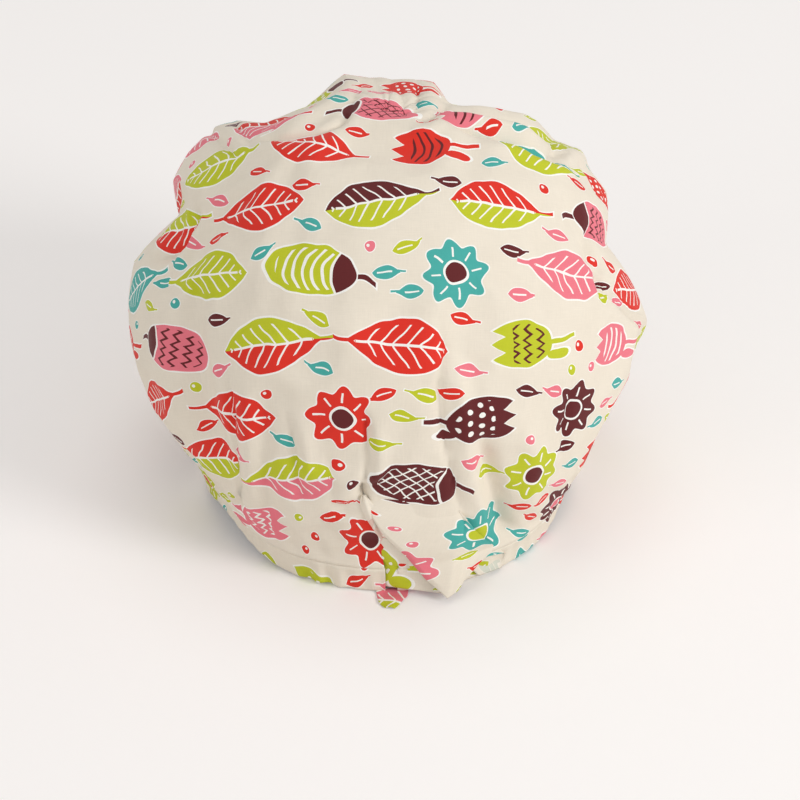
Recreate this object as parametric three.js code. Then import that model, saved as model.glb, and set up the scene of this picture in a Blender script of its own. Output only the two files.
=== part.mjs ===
// A printed cotton bouffant cap, standing on its rim: a gathered crown bag on a stiffened forehead
// band, an elastic hem at the nape and two self-fabric ties crossed in a half knot over that hem.
// Millimetres, +Z up, nape towards +Y, forehead towards -Y, wearer's left towards +X.
// An azimuth is measured from the nape, and grows towards the wearer's left.
import * as THREE from "three";

const degrees = THREE.MathUtils.degToRad;

// Head opening, at the outside of the rim
const RIM_HALF_WIDTH = 88;
const RIM_HALF_LENGTH = 94;

// Thickness of each layer, and the gap left between two layers that touch
const CLOTH = 1;
const INTERFACING = 0.6;
const LINING = 0.8;
const ELASTIC = 1;
const TERRY = 2.5;
const LAYER_GAP = 0.3;

// Forehead band: it runs round the front from ear to ear and leans out with the forehead
const BAND_HEIGHT = 58;
const BAND_START = degrees(100);
const BAND_LEAN = degrees(16);
const BAND_STEPS = 32;
const SEAM_LAP = 3;
const SWEATBAND_HEIGHT = 40;
const SWEATBAND_RISE = 6;
const SWEATBAND_HALF_ANGLE = degrees(55);
const SWEATBAND_STEPS = 22;

// Nape hem: a folded channel on each side of the slit, with a flat elastic in it
const HEM_HEIGHT = 14;
const ELASTIC_WIDTH = 8;
const HEM_STEPS = 20;
const END_GAP = degrees(0.3);

// The hem rises over each ear, around a middle and with a spread in degrees from the nape. The
// rise dies out at EAR_LIFT_TOP above the table.
const EAR_LIFT = 12;
const EAR_LIFT_TOP = 60;
const earLifts = [
  { liftShare: 1, azimuth: 61, spread: 17 },
  { liftShare: 0.75, azimuth: -74, spread: 13 },
];

// Slit in the nape, through which the ties come out
const SLIT_AZIMUTH = degrees(3);
const SLIT_WIDTH = 10;
const SLIT_ABOVE_KNOT = 14;

// Crown bag: how far the cloth puffs out past the rim, and where it is widest
const PUFF_SIDE_OVERHANG = 32;
const PUFF_REAR_OVERHANG = 7;
const PUFF_FRONT_OVERHANG = 52;
const PUFF_FORWARD = 18;
const PUFF_MIDDLE = 78;
const PUFF_TOP = 190;
const PUFF_START = degrees(-62);
const PUFF_LIP = 0.5;
const CROWN_POINT_SHARE = 0.95;
const BAG_COLUMNS = 96;
const LOWER_ROWS = 7;
const UPPER_ROWS = 14;

// Lobes and notches all round the puff, as seen from behind. The cap is worn tipped back by
// WORN_TILT. Each entry gives a place round the line that then points straight back, in degrees,
// and the share of LOBE_DEPTH that the cloth stands out there. They are strongest LOBE_RING from
// that line, and fade over LOBE_SPREAD, both in degrees.
const WORN_TILT = degrees(35);
const LOBE_DEPTH = 10;
const LOBE_RING = 92;
const LOBE_SPREAD = 25;
const lobeShares = [
  [-40, -0.09], [-24, -0.2], [-10, 0], [4, 0.24], [12.5, 0.25], [26, -1.03], [33, 0.12],
  [40, 0.32], [48, 0.32], [53, -0.1], [58, -1.01], [62, -1.1], [69, -1.1], [73, -0.8],
  [80, -0.02], [86, -0.23], [93, -0.39], [101, -0.4], [106, -1.15], [113, -1.05], [120, -0.74],
  [127, -0.22], [133, -0.3], [139, 0.09], [150, 0.14], [153, -0.2], [161.5, -1.12], [170, -0.5],
  [181.5, 0.26], [186, -0.03], [200, -0.38], [214, -0.29], [224, -0.05], [270, 0], [320, -0.09],
];

// Folds of the back, along lines of places across and up as seen from behind, in shares of
// FOLD_REACH. One with a depth share below 0 is a ridge. They fade out towards their ends.
const FOLD_REACH = 100;
const FOLD_HALF_WIDTH = 7;
const FOLD_DEPTH = 5.5;
const FOLD_END_SHARE = 0.3;
const FOLD_FACING_SHARE = 0.1;
const backFolds = [
  {
    widthShare: 1,
    depthShare: 0.818,
    lineShares: [[0.95, 1.19], [0.9, 1.02], [0.88, 0.63], [0.86, 0.43], [0.82, 0.23], [0.7, -0.11]],
  },
  {
    widthShare: 1,
    depthShare: -0.364,
    lineShares: [[1.1, 1.04], [1.04, 0.8], [1.02, 0.57], [0.99, 0.34], [0.93, 0.16]],
  },
  {
    widthShare: 0.571,
    depthShare: 0.327,
    lineShares: [[0.71, 0.46], [0.69, 0.29], [0.69, -0.07], [0.7, -0.25]],
  },
  {
    widthShare: 0.571,
    depthShare: 0.364,
    lineShares: [[0.1, 0.26], [0.09, 0.15], [0.09, 0.02], [0.11, -0.08]],
  },
  {
    widthShare: 0.571,
    depthShare: 0.364,
    lineShares: [[-0.23, 0.64], [-0.26, 0.51], [-0.22, 0.37], [-0.27, 0.04], [-0.35, -0.27]],
  },
  {
    widthShare: 0.714,
    depthShare: -0.327,
    lineShares: [[-0.3, 0.55], [-0.31, 0.4], [-0.33, 0.2], [-0.38, -0.02], [-0.43, -0.2]],
  },
  {
    widthShare: 1,
    depthShare: 1,
    lineShares: [[-0.4, 0.2], [-0.45, 0.04], [-0.49, -0.11], [-0.54, -0.3], [-0.58, -0.45]],
  },
];

// Pleats that rise from the forehead band.
const FRONT_GATHER_DEPTH = 6;
const FRONT_GATHERS = 12;
const FRONT_GATHER_SPREAD = 42;

// Ties: straps inside the hem, a half knot through the slit, and the ends outside
const TIE_WIDTH = 26;
const TIE_RISE = 2;
const TIE_CLIMB = degrees(30);
const TIE_LAP = degrees(4);
const TIE_STEPS = 20;
const KNOT_HEIGHT = 18;
const KNOT_RISE = 30;
const KNOT_HALF_WIDTH = 8;
const KNOT_THICKNESS = 6;
const KNOT_INNER_HALF_WIDTH = 6;
const KNOT_INNER_THICKNESS = 2;
const KNOT_CORNER = 1.5;

// Outside ends of the ties, as cut. Each lies turned a little towards the wearer's right.
const TAIL_TURN = degrees(9);
const WIDE_TAIL_ABOVE_KNOT = 9;
const WIDE_TAIL_LEFT = 2;
const WIDE_TAIL_FOLD = 41;
const WIDE_TAIL_FOLD_DROP = 7;
const WIDE_TAIL_WIDTH = 55;
const WIDE_TAIL_BELLY = 16;
const WIDE_TAIL_POINT = 34;
const WIDE_TAIL_TIP = 11;
const TAIL_LIFT = 1;
const UNDER_FOLD_LEFT = 1;
const UNDER_FOLD_TOP_WIDTH = 17;
const UNDER_FOLD_WIDTH = 33;
const SHORT_TAIL_WIDTH = 15;
const SHORT_TAIL_LENGTH = 9;
const SHORT_TAIL_CORNER = 4;

const COLOURS = { cream: "#e9e1cf", white: "#f2efe8", terry: "#f4f1ea", elastic: "#f7f6f2" };

// Heights of the tops of the knot, of the slit and of the wide tail.
const KNOT_TOP = KNOT_RISE + KNOT_HEIGHT;
const SLIT_HEIGHT = KNOT_TOP + SLIT_ABOVE_KNOT;
const WIDE_TAIL_TOP = KNOT_TOP + WIDE_TAIL_ABOVE_KNOT;

// How far the puffed cloth reaches, from the centre of the head opening.
const PUFF_HALF_WIDTH = RIM_HALF_WIDTH + PUFF_SIDE_OVERHANG;
const PUFF_REAR = RIM_HALF_LENGTH + PUFF_REAR_OVERHANG;
const PUFF_FRONT = RIM_HALF_LENGTH + PUFF_FRONT_OVERHANG;

// Azimuth measured from the middle of the nape, from 0 to a half turn.
function fromNape(azimuth) {
  return Math.abs(THREE.MathUtils.euclideanModulo(azimuth + Math.PI, 2 * Math.PI) - Math.PI);
}

// From 0 at the ends of the forehead band to 1 at the middle of the forehead.
function frontShare(azimuth) {
  return THREE.MathUtils.smoothstep(fromNape(azimuth), BAND_START, Math.PI);
}

// Height of the seam that joins the bag to the hem at the back and to the band in front.
function seamHeight(azimuth) {
  return THREE.MathUtils.lerp(HEM_HEIGHT, BAND_HEIGHT, frontShare(azimuth));
}

// How far the hem rises over the ears, at the rim.
function earLift(azimuth) {
  const side = THREE.MathUtils.radToDeg(Math.atan2(Math.sin(azimuth), Math.cos(azimuth)));
  let lift = 0;
  for (const ear of earLifts) lift += ear.liftShare * bell(side, ear.azimuth, ear.spread);
  return EAR_LIFT * lift;
}

// A point on the rim wall, a given distance outside its face (inside it where negative).
function rimPoint(azimuth, height, outside) {
  const liftShare = THREE.MathUtils.clamp(1 - height / EAR_LIFT_TOP, 0, 1);
  const raised = height + earLift(azimuth) * liftShare;
  const lean = Math.tan(BAND_LEAN) * frontShare(azimuth) * raised;
  return new THREE.Vector3(
    (RIM_HALF_WIDTH + outside + lean) * Math.sin(azimuth),
    (RIM_HALF_LENGTH + outside + lean) * Math.cos(azimuth),
    raised,
  );
}

// Depths of the layers behind the outer face of the rim.
const BAG_FACE = -(CLOTH + LAYER_GAP);
const BAG_BACK = BAG_FACE - CLOTH;
const INNER_FACE = BAG_BACK - LAYER_GAP;
const HEM_BACK = INNER_FACE - CLOTH;
const LINING_BACK = INNER_FACE - LINING;
const SWEATBAND_FACE = LINING_BACK - LAYER_GAP;
const TIE_FACE = Math.min(HEM_BACK, LINING_BACK) - LAYER_GAP;

// Outward direction of the puffed cloth at a point.
function puffNormal(point) {
  const reach = point.y > -PUFF_FORWARD ? PUFF_REAR + PUFF_FORWARD : PUFF_FRONT - PUFF_FORWARD;
  return new THREE.Vector3(
    point.x / PUFF_HALF_WIDTH ** 2,
    (point.y + PUFF_FORWARD) / reach ** 2,
    (point.z - PUFF_MIDDLE) / (PUFF_TOP - PUFF_MIDDLE) ** 2,
  ).normalize();
}

function bell(value, middle, spread) {
  return Math.exp(-(((value - middle) / spread) ** 2));
}

// How far the cloth stands out in the lobe or notch at a place round the back, in degrees.
function lobeReach(fan) {
  const [first] = lobeShares[0];
  const place = THREE.MathUtils.euclideanModulo(fan - first, 360) + first;
  const next = Math.max(lobeShares.findIndex(([end]) => end > place), 1);
  const [[start, low], [end, high]] = [lobeShares[next - 1], lobeShares[next]];
  return LOBE_DEPTH * THREE.MathUtils.mapLinear(place, start, end, low, high);
}

// Depth of a fold of the back at a place seen from behind.
function foldDepth(fold, place) {
  const corners = fold.lineShares.map(([across, up]) => {
    return new THREE.Vector3(across, up, 0).multiplyScalar(FOLD_REACH);
  });
  let nearest = Infinity;
  let share = 0;
  for (let corner = 0; corner + 1 < corners.length; corner += 1) {
    const stretch = new THREE.Line3(corners[corner], corners[corner + 1]);
    const along = stretch.closestPointToPointParameter(place, true);
    const gap = stretch.at(along, new THREE.Vector3()).distanceTo(place);
    if (gap < nearest) share = (corner + along) / (corners.length - 1);
    nearest = Math.min(nearest, gap);
  }
  const rise = THREE.MathUtils.smoothstep(share, 0, FOLD_END_SHARE);
  const fall = THREE.MathUtils.smoothstep(1 - share, 0, FOLD_END_SHARE);
  const across = bell(nearest, 0, fold.widthShare * FOLD_HALF_WIDTH);
  return FOLD_DEPTH * fold.depthShare * across * rise * fall;
}

// How far the lobes, folds and gathers move the cloth outwards from the smooth puff.
function foldOffset(point, azimuth, climb) {
  const back = new THREE.Vector3(0, Math.cos(WORN_TILT), Math.sin(WORN_TILT));
  const up = new THREE.Vector3(0, -Math.sin(WORN_TILT), Math.cos(WORN_TILT));
  const arm = new THREE.Vector3(point.x, point.y + PUFF_FORWARD, point.z - PUFF_MIDDLE);
  const fan = THREE.MathUtils.radToDeg(Math.atan2(arm.dot(up), arm.x));
  const turn = THREE.MathUtils.radToDeg(arm.angleTo(back));
  let offset = lobeReach(fan) * bell(turn, LOBE_RING, LOBE_SPREAD);
  const towards = puffNormal(point).dot(back);
  const facing = THREE.MathUtils.smoothstep(towards, -FOLD_FACING_SHARE, FOLD_FACING_SHARE);
  const place = new THREE.Vector3(point.x, point.dot(up), 0);
  for (const fold of backFolds) offset -= facing * foldDepth(fold, place);
  const gather = Math.cos(FRONT_GATHERS * azimuth) * frontShare(azimuth);
  const [height, start] = [climb, PUFF_START].map(THREE.MathUtils.radToDeg);
  offset += FRONT_GATHER_DEPTH * gather * bell(height, start, FRONT_GATHER_SPREAD);
  return offset * THREE.MathUtils.smoothstep(climb, PUFF_START, PUFF_START / 2);
}

// Outer face of the puffed cloth. The climb runs from PUFF_START at the seam, through 0 where
// the bag is widest, to a quarter turn at the top.
function bagPoint(azimuth, climb) {
  const seam = rimPoint(azimuth, seamHeight(azimuth) + PUFF_LIP, BAG_FACE);
  const reach = Math.cos(azimuth) > 0 ? PUFF_REAR + PUFF_FORWARD : PUFF_FRONT - PUFF_FORWARD;
  const wide = new THREE.Vector3(
    PUFF_HALF_WIDTH * Math.sin(azimuth),
    reach * Math.cos(azimuth) - PUFF_FORWARD,
    PUFF_MIDDLE,
  );
  const point = new THREE.Vector3();
  if (climb < 0) {
    const out = (Math.cos(climb) - Math.cos(PUFF_START)) / (1 - Math.cos(PUFF_START));
    point.lerpVectors(seam, wide, out);
    const below = Math.sin(climb) / Math.sin(PUFF_START);
    point.z = THREE.MathUtils.lerp(PUFF_MIDDLE, seam.z, below);
  } else {
    const top = new THREE.Vector3(0, -PUFF_FORWARD, PUFF_MIDDLE);
    const out = Math.max(Math.cos(climb), 0) ** CROWN_POINT_SHARE;
    point.lerpVectors(top, wide, out);
    point.z = THREE.MathUtils.lerp(PUFF_MIDDLE, PUFF_TOP, Math.sin(climb));
  }
  return point.addScaledVector(puffNormal(point), foldOffset(point, azimuth, climb));
}

// Climb at which the cloth below its widest place is at a height.
function climbAt(azimuth, height) {
  const seam = seamHeight(azimuth) + PUFF_LIP;
  const below = (PUFF_MIDDLE - height) / (PUFF_MIDDLE - seam);
  return Math.asin(Math.sin(PUFF_START) * below);
}

// A solid from rows of corner points and triangles of their numbers.
function solid(points, triangles) {
  const geometry = new THREE.BufferGeometry().setFromPoints(points);
  geometry.setIndex(triangles);
  geometry.computeVertexNormals();
  return geometry;
}

// Climb of each row of the bag above the seam.
function bagClimbs() {
  const climbs = [];
  for (let row = 0; row < LOWER_ROWS; row += 1) climbs.push(PUFF_START * (1 - row / LOWER_ROWS));
  for (let row = 0; row <= UPPER_ROWS; row += 1) climbs.push((Math.PI / 2) * (row / UPPER_ROWS));
  return climbs;
}

// Half of the slit's opening at a height, as an angle; 0 above the slit.
function slitHalfAngle(height) {
  const foot = HEM_HEIGHT - SEAM_LAP;
  const open = (SLIT_HEIGHT - height) / (SLIT_HEIGHT - foot);
  return (SLIT_WIDTH / 2 / RIM_HALF_LENGTH) * THREE.MathUtils.clamp(open, 0, 1);
}

// The bag: its lower edge stands in the hem and behind the band, and it puffs out above them.
function bagGeometry() {
  const climbs = bagClimbs();
  const rows = climbs.length + 1;
  const slitAngles = [slitHalfAngle(HEM_HEIGHT - SEAM_LAP)];
  for (const climb of climbs) slitAngles.push(slitHalfAngle(bagPoint(SLIT_AZIMUTH, climb).z));
  const points = [];
  for (let row = 0; row < rows; row += 1) {
    for (let column = 0; column <= BAG_COLUMNS; column += 1) {
      const from = SLIT_AZIMUTH + slitAngles[row];
      const to = SLIT_AZIMUTH + 2 * Math.PI - slitAngles[row];
      const closed = slitAngles[row] === 0 && column === BAG_COLUMNS;
      const azimuth = closed ? from : THREE.MathUtils.lerp(from, to, column / BAG_COLUMNS);
      if (row === 0) {
        const edge = seamHeight(azimuth) - SEAM_LAP;
        points.push(rimPoint(azimuth, edge, BAG_FACE), rimPoint(azimuth, edge, BAG_BACK));
      } else if (row === 1) {
        const lip = seamHeight(azimuth) + PUFF_LIP;
        points.push(rimPoint(azimuth, lip, BAG_FACE), rimPoint(azimuth, lip, BAG_BACK));
      } else {
        const outer = bagPoint(azimuth, climbs[row - 1]);
        points.push(outer, outer.clone().addScaledVector(puffNormal(outer), -CLOTH));
      }
    }
  }
  const at = (column, row, side) => 2 * (row * (BAG_COLUMNS + 1) + column) + side;
  const triangles = [];
  for (let row = 0; row + 1 < rows; row += 1) {
    const last = row + 2 === rows;
    for (let column = 0; column < BAG_COLUMNS; column += 1) {
      for (const side of [0, 1]) {
        const a = at(column, row, side);
        const b = at(column + 1, row, side);
        const c = at(last ? 0 : column + 1, row + 1, side);
        const d = at(last ? 0 : column, row + 1, side);
        const faces = last ? [[a, d, b]] : [[a, d, c], [a, c, b]];
        for (const face of faces) triangles.push(...(side ? face.reverse() : face));
      }
      if (row === 0) {
        const [a, b] = [at(column, 0, 0), at(column + 1, 0, 0)];
        triangles.push(a, b, b + 1, a, b + 1, a + 1);
      }
    }
    if (slitAngles[row] > 0) {
      const [a, d] = [at(0, row, 0), at(0, row + 1, 0)];
      const [b, c] = [at(BAG_COLUMNS, row, 0), at(BAG_COLUMNS, row + 1, 0)];
      triangles.push(d, a, a + 1, d, a + 1, d + 1, b, c, c + 1, b, c + 1, b + 1);
    }
  }
  return solid(points, triangles);
}

// A strip along the rim wall. Its section at each azimuth is a ring of [outside, height] corners.
// Rising and falling faces are split along the same diagonal, so twisted layers stay apart.
function stripGeometry(from, to, steps, sectionAt) {
  const points = [];
  const triangles = [];
  const corners = sectionAt(from).length;
  for (let step = 0; step <= steps; step += 1) {
    const azimuth = THREE.MathUtils.lerp(from, to, step / steps);
    for (const [outside, height] of sectionAt(azimuth)) {
      points.push(rimPoint(azimuth, height, outside));
    }
  }
  for (let step = 0; step < steps; step += 1) {
    for (let corner = 0; corner < corners; corner += 1) {
      const a = step * corners + corner;
      const b = step * corners + ((corner + 1) % corners);
      const [c, d] = [b + corners, a + corners];
      const rising = points[b].z >= points[a].z;
      triangles.push(...(rising ? [a, b, c, a, c, d] : [a, b, d, b, c, d]));
    }
  }
  const end = steps * corners;
  const contour = sectionAt(from).map(([outside, height]) => new THREE.Vector2(outside, height));
  for (const [a, b, c] of THREE.ShapeUtils.triangulateShape(contour, [])) {
    triangles.push(a, c, b, end + a, end + b, end + c);
  }
  return solid(points, triangles);
}

// Corners of a plain upright layer, from its outer face inwards.
function layer(face, thickness, bottom, top) {
  return [
    [face - thickness, bottom],
    [face, bottom],
    [face, top],
    [face - thickness, top],
  ];
}

// Corners of a folded channel that is open at the top.
function channel(inner, outerTop, innerTop) {
  return [
    [inner - CLOTH, 0],
    [0, 0],
    [0, outerTop],
    [-CLOTH, outerTop],
    [-CLOTH, CLOTH],
    [inner, CLOTH],
    [inner, innerTop],
    [inner - CLOTH, innerTop],
  ];
}

// The printed face of the band, with its lower edge turned under the layers behind it.
function bandOuterSection(azimuth) {
  return [
    [LINING_BACK, 0],
    [0, 0],
    [0, seamHeight(azimuth)],
    [-CLOTH, seamHeight(azimuth)],
    [-CLOTH, CLOTH],
    [LINING_BACK, CLOTH],
  ];
}

function interfacingSection(azimuth) {
  const top = seamHeight(azimuth) - SEAM_LAP - LAYER_GAP;
  return layer(BAG_FACE, INTERFACING, CLOTH + LAYER_GAP, top);
}

function liningSection(azimuth) {
  return layer(INNER_FACE, LINING, CLOTH + LAYER_GAP, seamHeight(azimuth));
}

function sweatbandSection() {
  return layer(SWEATBAND_FACE, TERRY, SWEATBAND_RISE, SWEATBAND_RISE + SWEATBAND_HEIGHT);
}

function hemSection() {
  return channel(INNER_FACE, HEM_HEIGHT, HEM_HEIGHT);
}

function elasticSection() {
  const bottom = CLOTH + LAYER_GAP;
  const room = HEM_HEIGHT - SEAM_LAP - bottom - LAYER_GAP;
  return layer(BAG_FACE, ELASTIC, bottom, bottom + Math.min(ELASTIC_WIDTH, room));
}

// A tie inside the hem: it climbs and narrows over the last stretch before the knot.
function tieSection(azimuth, knotEnd) {
  const climb = 1 - THREE.MathUtils.smoothstep(Math.abs(azimuth - knotEnd), 0, TIE_CLIMB);
  const bottom = THREE.MathUtils.lerp(TIE_RISE, KNOT_RISE, climb);
  const width = THREE.MathUtils.lerp(TIE_WIDTH, KNOT_HEIGHT, climb);
  return layer(TIE_FACE, CLOTH, bottom, bottom + width);
}

// How far the cap's outer face reaches in a direction, below a height, near the nape. The bag's
// facets bridge its pleats, so the stretch looked at is a facet wider at each end.
function napeReach(direction, top, left, right) {
  const toward = new THREE.Vector3(Math.sin(direction), Math.cos(direction), 0);
  const facet = (2 * Math.PI * RIM_HALF_LENGTH) / BAG_COLUMNS;
  let reach = -Infinity;
  const tries = BAG_COLUMNS;
  for (let column = 0; column <= tries; column += 1) {
    const azimuth = THREE.MathUtils.lerp(-Math.PI / 4, Math.PI / 4, column / tries);
    const places = [rimPoint(azimuth, 0, 0), rimPoint(azimuth, HEM_HEIGHT, 0)];
    for (let row = 0; row <= tries; row += 1) {
      places.push(bagPoint(azimuth, PUFF_START * (1 - row / tries)));
    }
    for (const place of places) {
      const beside = place.x > left + facet || place.x < -right - facet;
      if (beside || place.z > top) continue;
      reach = Math.max(reach, place.dot(toward));
    }
  }
  return reach;
}

const SLIT_X = bagPoint(SLIT_AZIMUTH, climbAt(SLIT_AZIMUTH, KNOT_TOP)).x;
const SLIT_Y = RIM_HALF_LENGTH * Math.cos(SLIT_AZIMUTH);
const KNOT_NECK_HALF = RIM_HALF_LENGTH * slitHalfAngle(KNOT_TOP) - 2 * LAYER_GAP;
const KNOT_FACE =
  napeReach(0, KNOT_TOP, SLIT_X + KNOT_HALF_WIDTH, KNOT_HALF_WIDTH - SLIT_X) + LAYER_GAP;
const KNOT_BACK = SLIT_Y + TIE_FACE + (KNOT_INNER_THICKNESS - CLOTH) / 2;

// Directions across and out of the tails, which lie turned, and how far the knot and the bag
// reach in the second. The knot is at least as thick as it takes to carry the wide tail.
const TAIL_ACROSS = new THREE.Vector2(Math.cos(TAIL_TURN), Math.sin(TAIL_TURN));
const TAIL_OUT = new THREE.Vector2(-Math.sin(TAIL_TURN), Math.cos(TAIL_TURN));
const BAG_REACH = napeReach(-TAIL_TURN, WIDE_TAIL_TOP, SLIT_X, WIDE_TAIL_WIDTH);
const KNOT_SIDE = (SLIT_X - KNOT_HALF_WIDTH + KNOT_CORNER) * TAIL_OUT.x + KNOT_CORNER;
const KNOT_OUT = Math.max(
  KNOT_FACE + KNOT_THICKNESS,
  (BAG_REACH - KNOT_SIDE) / TAIL_OUT.y + KNOT_CORNER,
);
const KNOT_REACH = (KNOT_OUT - KNOT_CORNER) * TAIL_OUT.y + KNOT_SIDE;

// The half knot, seen from above: a lump outside, a neck in the slit and a bar inside.
function knotGeometry() {
  const shape = new THREE.Shape();
  const out = KNOT_OUT;
  const inside = KNOT_BACK - KNOT_INNER_THICKNESS;
  const neck = KNOT_NECK_HALF;
  const [wide, corner] = [KNOT_HALF_WIDTH, KNOT_CORNER];
  shape.moveTo(-KNOT_INNER_HALF_WIDTH, inside);
  shape.lineTo(KNOT_INNER_HALF_WIDTH, inside);
  shape.lineTo(KNOT_INNER_HALF_WIDTH, KNOT_BACK);
  shape.lineTo(neck, KNOT_BACK);
  shape.lineTo(neck, KNOT_FACE);
  shape.lineTo(wide, KNOT_FACE);
  shape.lineTo(wide, out - corner);
  shape.absarc(wide - corner, out - corner, corner, 0, Math.PI / 2, false);
  shape.lineTo(corner - wide, out);
  shape.absarc(corner - wide, out - corner, corner, Math.PI / 2, Math.PI, false);
  shape.lineTo(-wide, KNOT_FACE);
  shape.lineTo(-neck, KNOT_FACE);
  shape.lineTo(-neck, KNOT_BACK);
  shape.lineTo(-KNOT_INNER_HALF_WIDTH, KNOT_BACK);
  const options = { depth: KNOT_HEIGHT, bevelEnabled: false, curveSegments: 4 };
  return new THREE.ExtrudeGeometry(shape, options);
}

// A flat piece of tie that stands upright: its outline runs across (+X) and up (+Y).
function uprightFlat(outline) {
  const shape = new THREE.Shape(outline.map(([across, up]) => new THREE.Vector2(across, up)));
  const geometry = new THREE.ExtrudeGeometry(shape, { depth: CLOTH, bevelEnabled: false });
  return geometry.rotateX(Math.PI / 2).translate(0, CLOTH, 0);
}

function wideTailGeometry() {
  return uprightFlat([
    [WIDE_TAIL_LEFT, WIDE_TAIL_TOP],
    [-WIDE_TAIL_FOLD, WIDE_TAIL_TOP - WIDE_TAIL_FOLD_DROP],
    [-WIDE_TAIL_WIDTH, WIDE_TAIL_BELLY],
    [-WIDE_TAIL_POINT - WIDE_TAIL_TIP, TAIL_LIFT],
    [-WIDE_TAIL_POINT, TAIL_LIFT],
  ]);
}

function underFoldGeometry() {
  return uprightFlat([
    [-UNDER_FOLD_LEFT, KNOT_RISE - LAYER_GAP],
    [-UNDER_FOLD_TOP_WIDTH, KNOT_RISE - LAYER_GAP],
    [-UNDER_FOLD_WIDTH, LAYER_GAP],
    [-UNDER_FOLD_LEFT, LAYER_GAP],
  ]);
}

// The short end lies flat on the table, with its outer corners cut off.
function shortTailGeometry() {
  const shape = new THREE.Shape();
  const [wide, long, corner] = [SHORT_TAIL_WIDTH, SHORT_TAIL_LENGTH, SHORT_TAIL_CORNER];
  shape.moveTo(0, 0);
  shape.lineTo(0, long - corner);
  shape.lineTo(-corner, long);
  shape.lineTo(corner - wide, long);
  shape.lineTo(-wide, long - corner);
  shape.lineTo(-wide, 0);
  return new THREE.ExtrudeGeometry(shape, { depth: CLOTH, bevelEnabled: false });
}

function mesh(name, geometry, colour, roughness) {
  const material = new THREE.MeshStandardMaterial({ color: colour, roughness, metalness: 0 });
  const made = new THREE.Mesh(geometry, material);
  made.name = name;
  return made;
}

const cap = new THREE.Group();
const model = new THREE.Group();
cap.add(model);

model.add(mesh("crown_bag", bagGeometry(), COLOURS.cream, 0.85));

// Forehead band, from the printed face inwards
const bandEnd = 2 * Math.PI - BAND_START;
const bandLayers = [
  ["front_band_outer", bandOuterSection, COLOURS.cream, 0.85],
  ["front_band_interfacing", interfacingSection, COLOURS.white, 0.95],
  ["front_band_lining", liningSection, COLOURS.white, 0.9],
];
for (const [name, section, colour, roughness] of bandLayers) {
  const geometry = stripGeometry(BAND_START, bandEnd, BAND_STEPS, section);
  model.add(mesh(name, geometry, colour, roughness));
}
const sweatband = stripGeometry(
  Math.PI - SWEATBAND_HALF_ANGLE,
  Math.PI + SWEATBAND_HALF_ANGLE,
  SWEATBAND_STEPS,
  sweatbandSection,
);
model.add(mesh("sweatband", sweatband, COLOURS.terry, 0.95));

// Hem, elastic and tie on each side of the slit
const slitAngle = slitHalfAngle(HEM_HEIGHT - SEAM_LAP);
const tieEndReach = KNOT_INNER_HALF_WIDTH + LAYER_GAP;
for (const [side, sign] of [["left", 1], ["right", -1]]) {
  const hemEnds = [SLIT_AZIMUTH + sign * slitAngle, sign * (BAND_START - END_GAP)];
  const knotEnd = Math.asin((SLIT_X + sign * tieEndReach) / (RIM_HALF_WIDTH + TIE_FACE - CLOTH));
  const tieEnds = [knotEnd, sign * (BAND_START + TIE_LAP)];
  hemEnds.sort((a, b) => a - b);
  tieEnds.sort((a, b) => a - b);
  const hem = stripGeometry(...hemEnds, HEM_STEPS, hemSection);
  const elastic = stripGeometry(...hemEnds, HEM_STEPS, elasticSection);
  const tie = stripGeometry(...tieEnds, TIE_STEPS, (azimuth) => tieSection(azimuth, knotEnd));
  model.add(mesh(side + "_hem", hem, COLOURS.cream, 0.85));
  model.add(mesh(side + "_elastic", elastic, COLOURS.elastic, 0.7));
  model.add(mesh(side + "_tie", tie, COLOURS.cream, 0.85));
}

// Half knot and the ends outside the hem
const knot = mesh("tie_knot", knotGeometry(), COLOURS.cream, 0.85);
knot.position.set(SLIT_X, 0, KNOT_RISE);
model.add(knot);

const wideTail = mesh("left_tie_tail", wideTailGeometry(), COLOURS.cream, 0.85);
const wideTailGroup = new THREE.Group();
wideTailGroup.rotation.z = TAIL_TURN;
const wideTailFace = Math.max(BAG_REACH, KNOT_REACH) + LAYER_GAP;
const slitAcross = TAIL_ACROSS.x * SLIT_X + TAIL_ACROSS.y * KNOT_FACE;
wideTail.position.set(slitAcross, wideTailFace, 0);
wideTailGroup.add(wideTail);
model.add(wideTailGroup);

// The under fold hangs from the knot, and the short end lies on the table from its foot outwards
const underFoldGroup = new THREE.Group();
underFoldGroup.rotation.z = TAIL_TURN;
const hemReach = napeReach(-TAIL_TURN, KNOT_RISE, SLIT_X, UNDER_FOLD_WIDTH) + LAYER_GAP;
const slitOut = TAIL_OUT.x * SLIT_X + TAIL_OUT.y * KNOT_FACE;
const underFold = mesh("right_tie_fold", underFoldGeometry(), COLOURS.cream, 0.85);
underFold.position.set(slitAcross, Math.max(slitOut, hemReach), 0);
const shortTail = mesh("right_tie_tail", shortTailGeometry(), COLOURS.cream, 0.85);
shortTail.position.set(slitAcross, underFold.position.y + CLOTH + LAYER_GAP, LAYER_GAP);
underFoldGroup.add(underFold, shortTail);
model.add(underFoldGroup);

// The origin is under the middle of the cap's footprint.
const box = new THREE.Box3().setFromObject(cap, true);
const middle = box.getCenter(new THREE.Vector3());
model.position.set(-middle.x, -middle.y, -box.min.z);

export default cap;
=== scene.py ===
# A printed cotton bouffant cap that stands on its rim, seen from behind its nape.
import math

import bmesh
import bpy
import numpy as np
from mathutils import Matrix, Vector, noise
from mathutils.bvhtree import BVHTree
from mathutils.interpolate import poly_3d_calc


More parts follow.
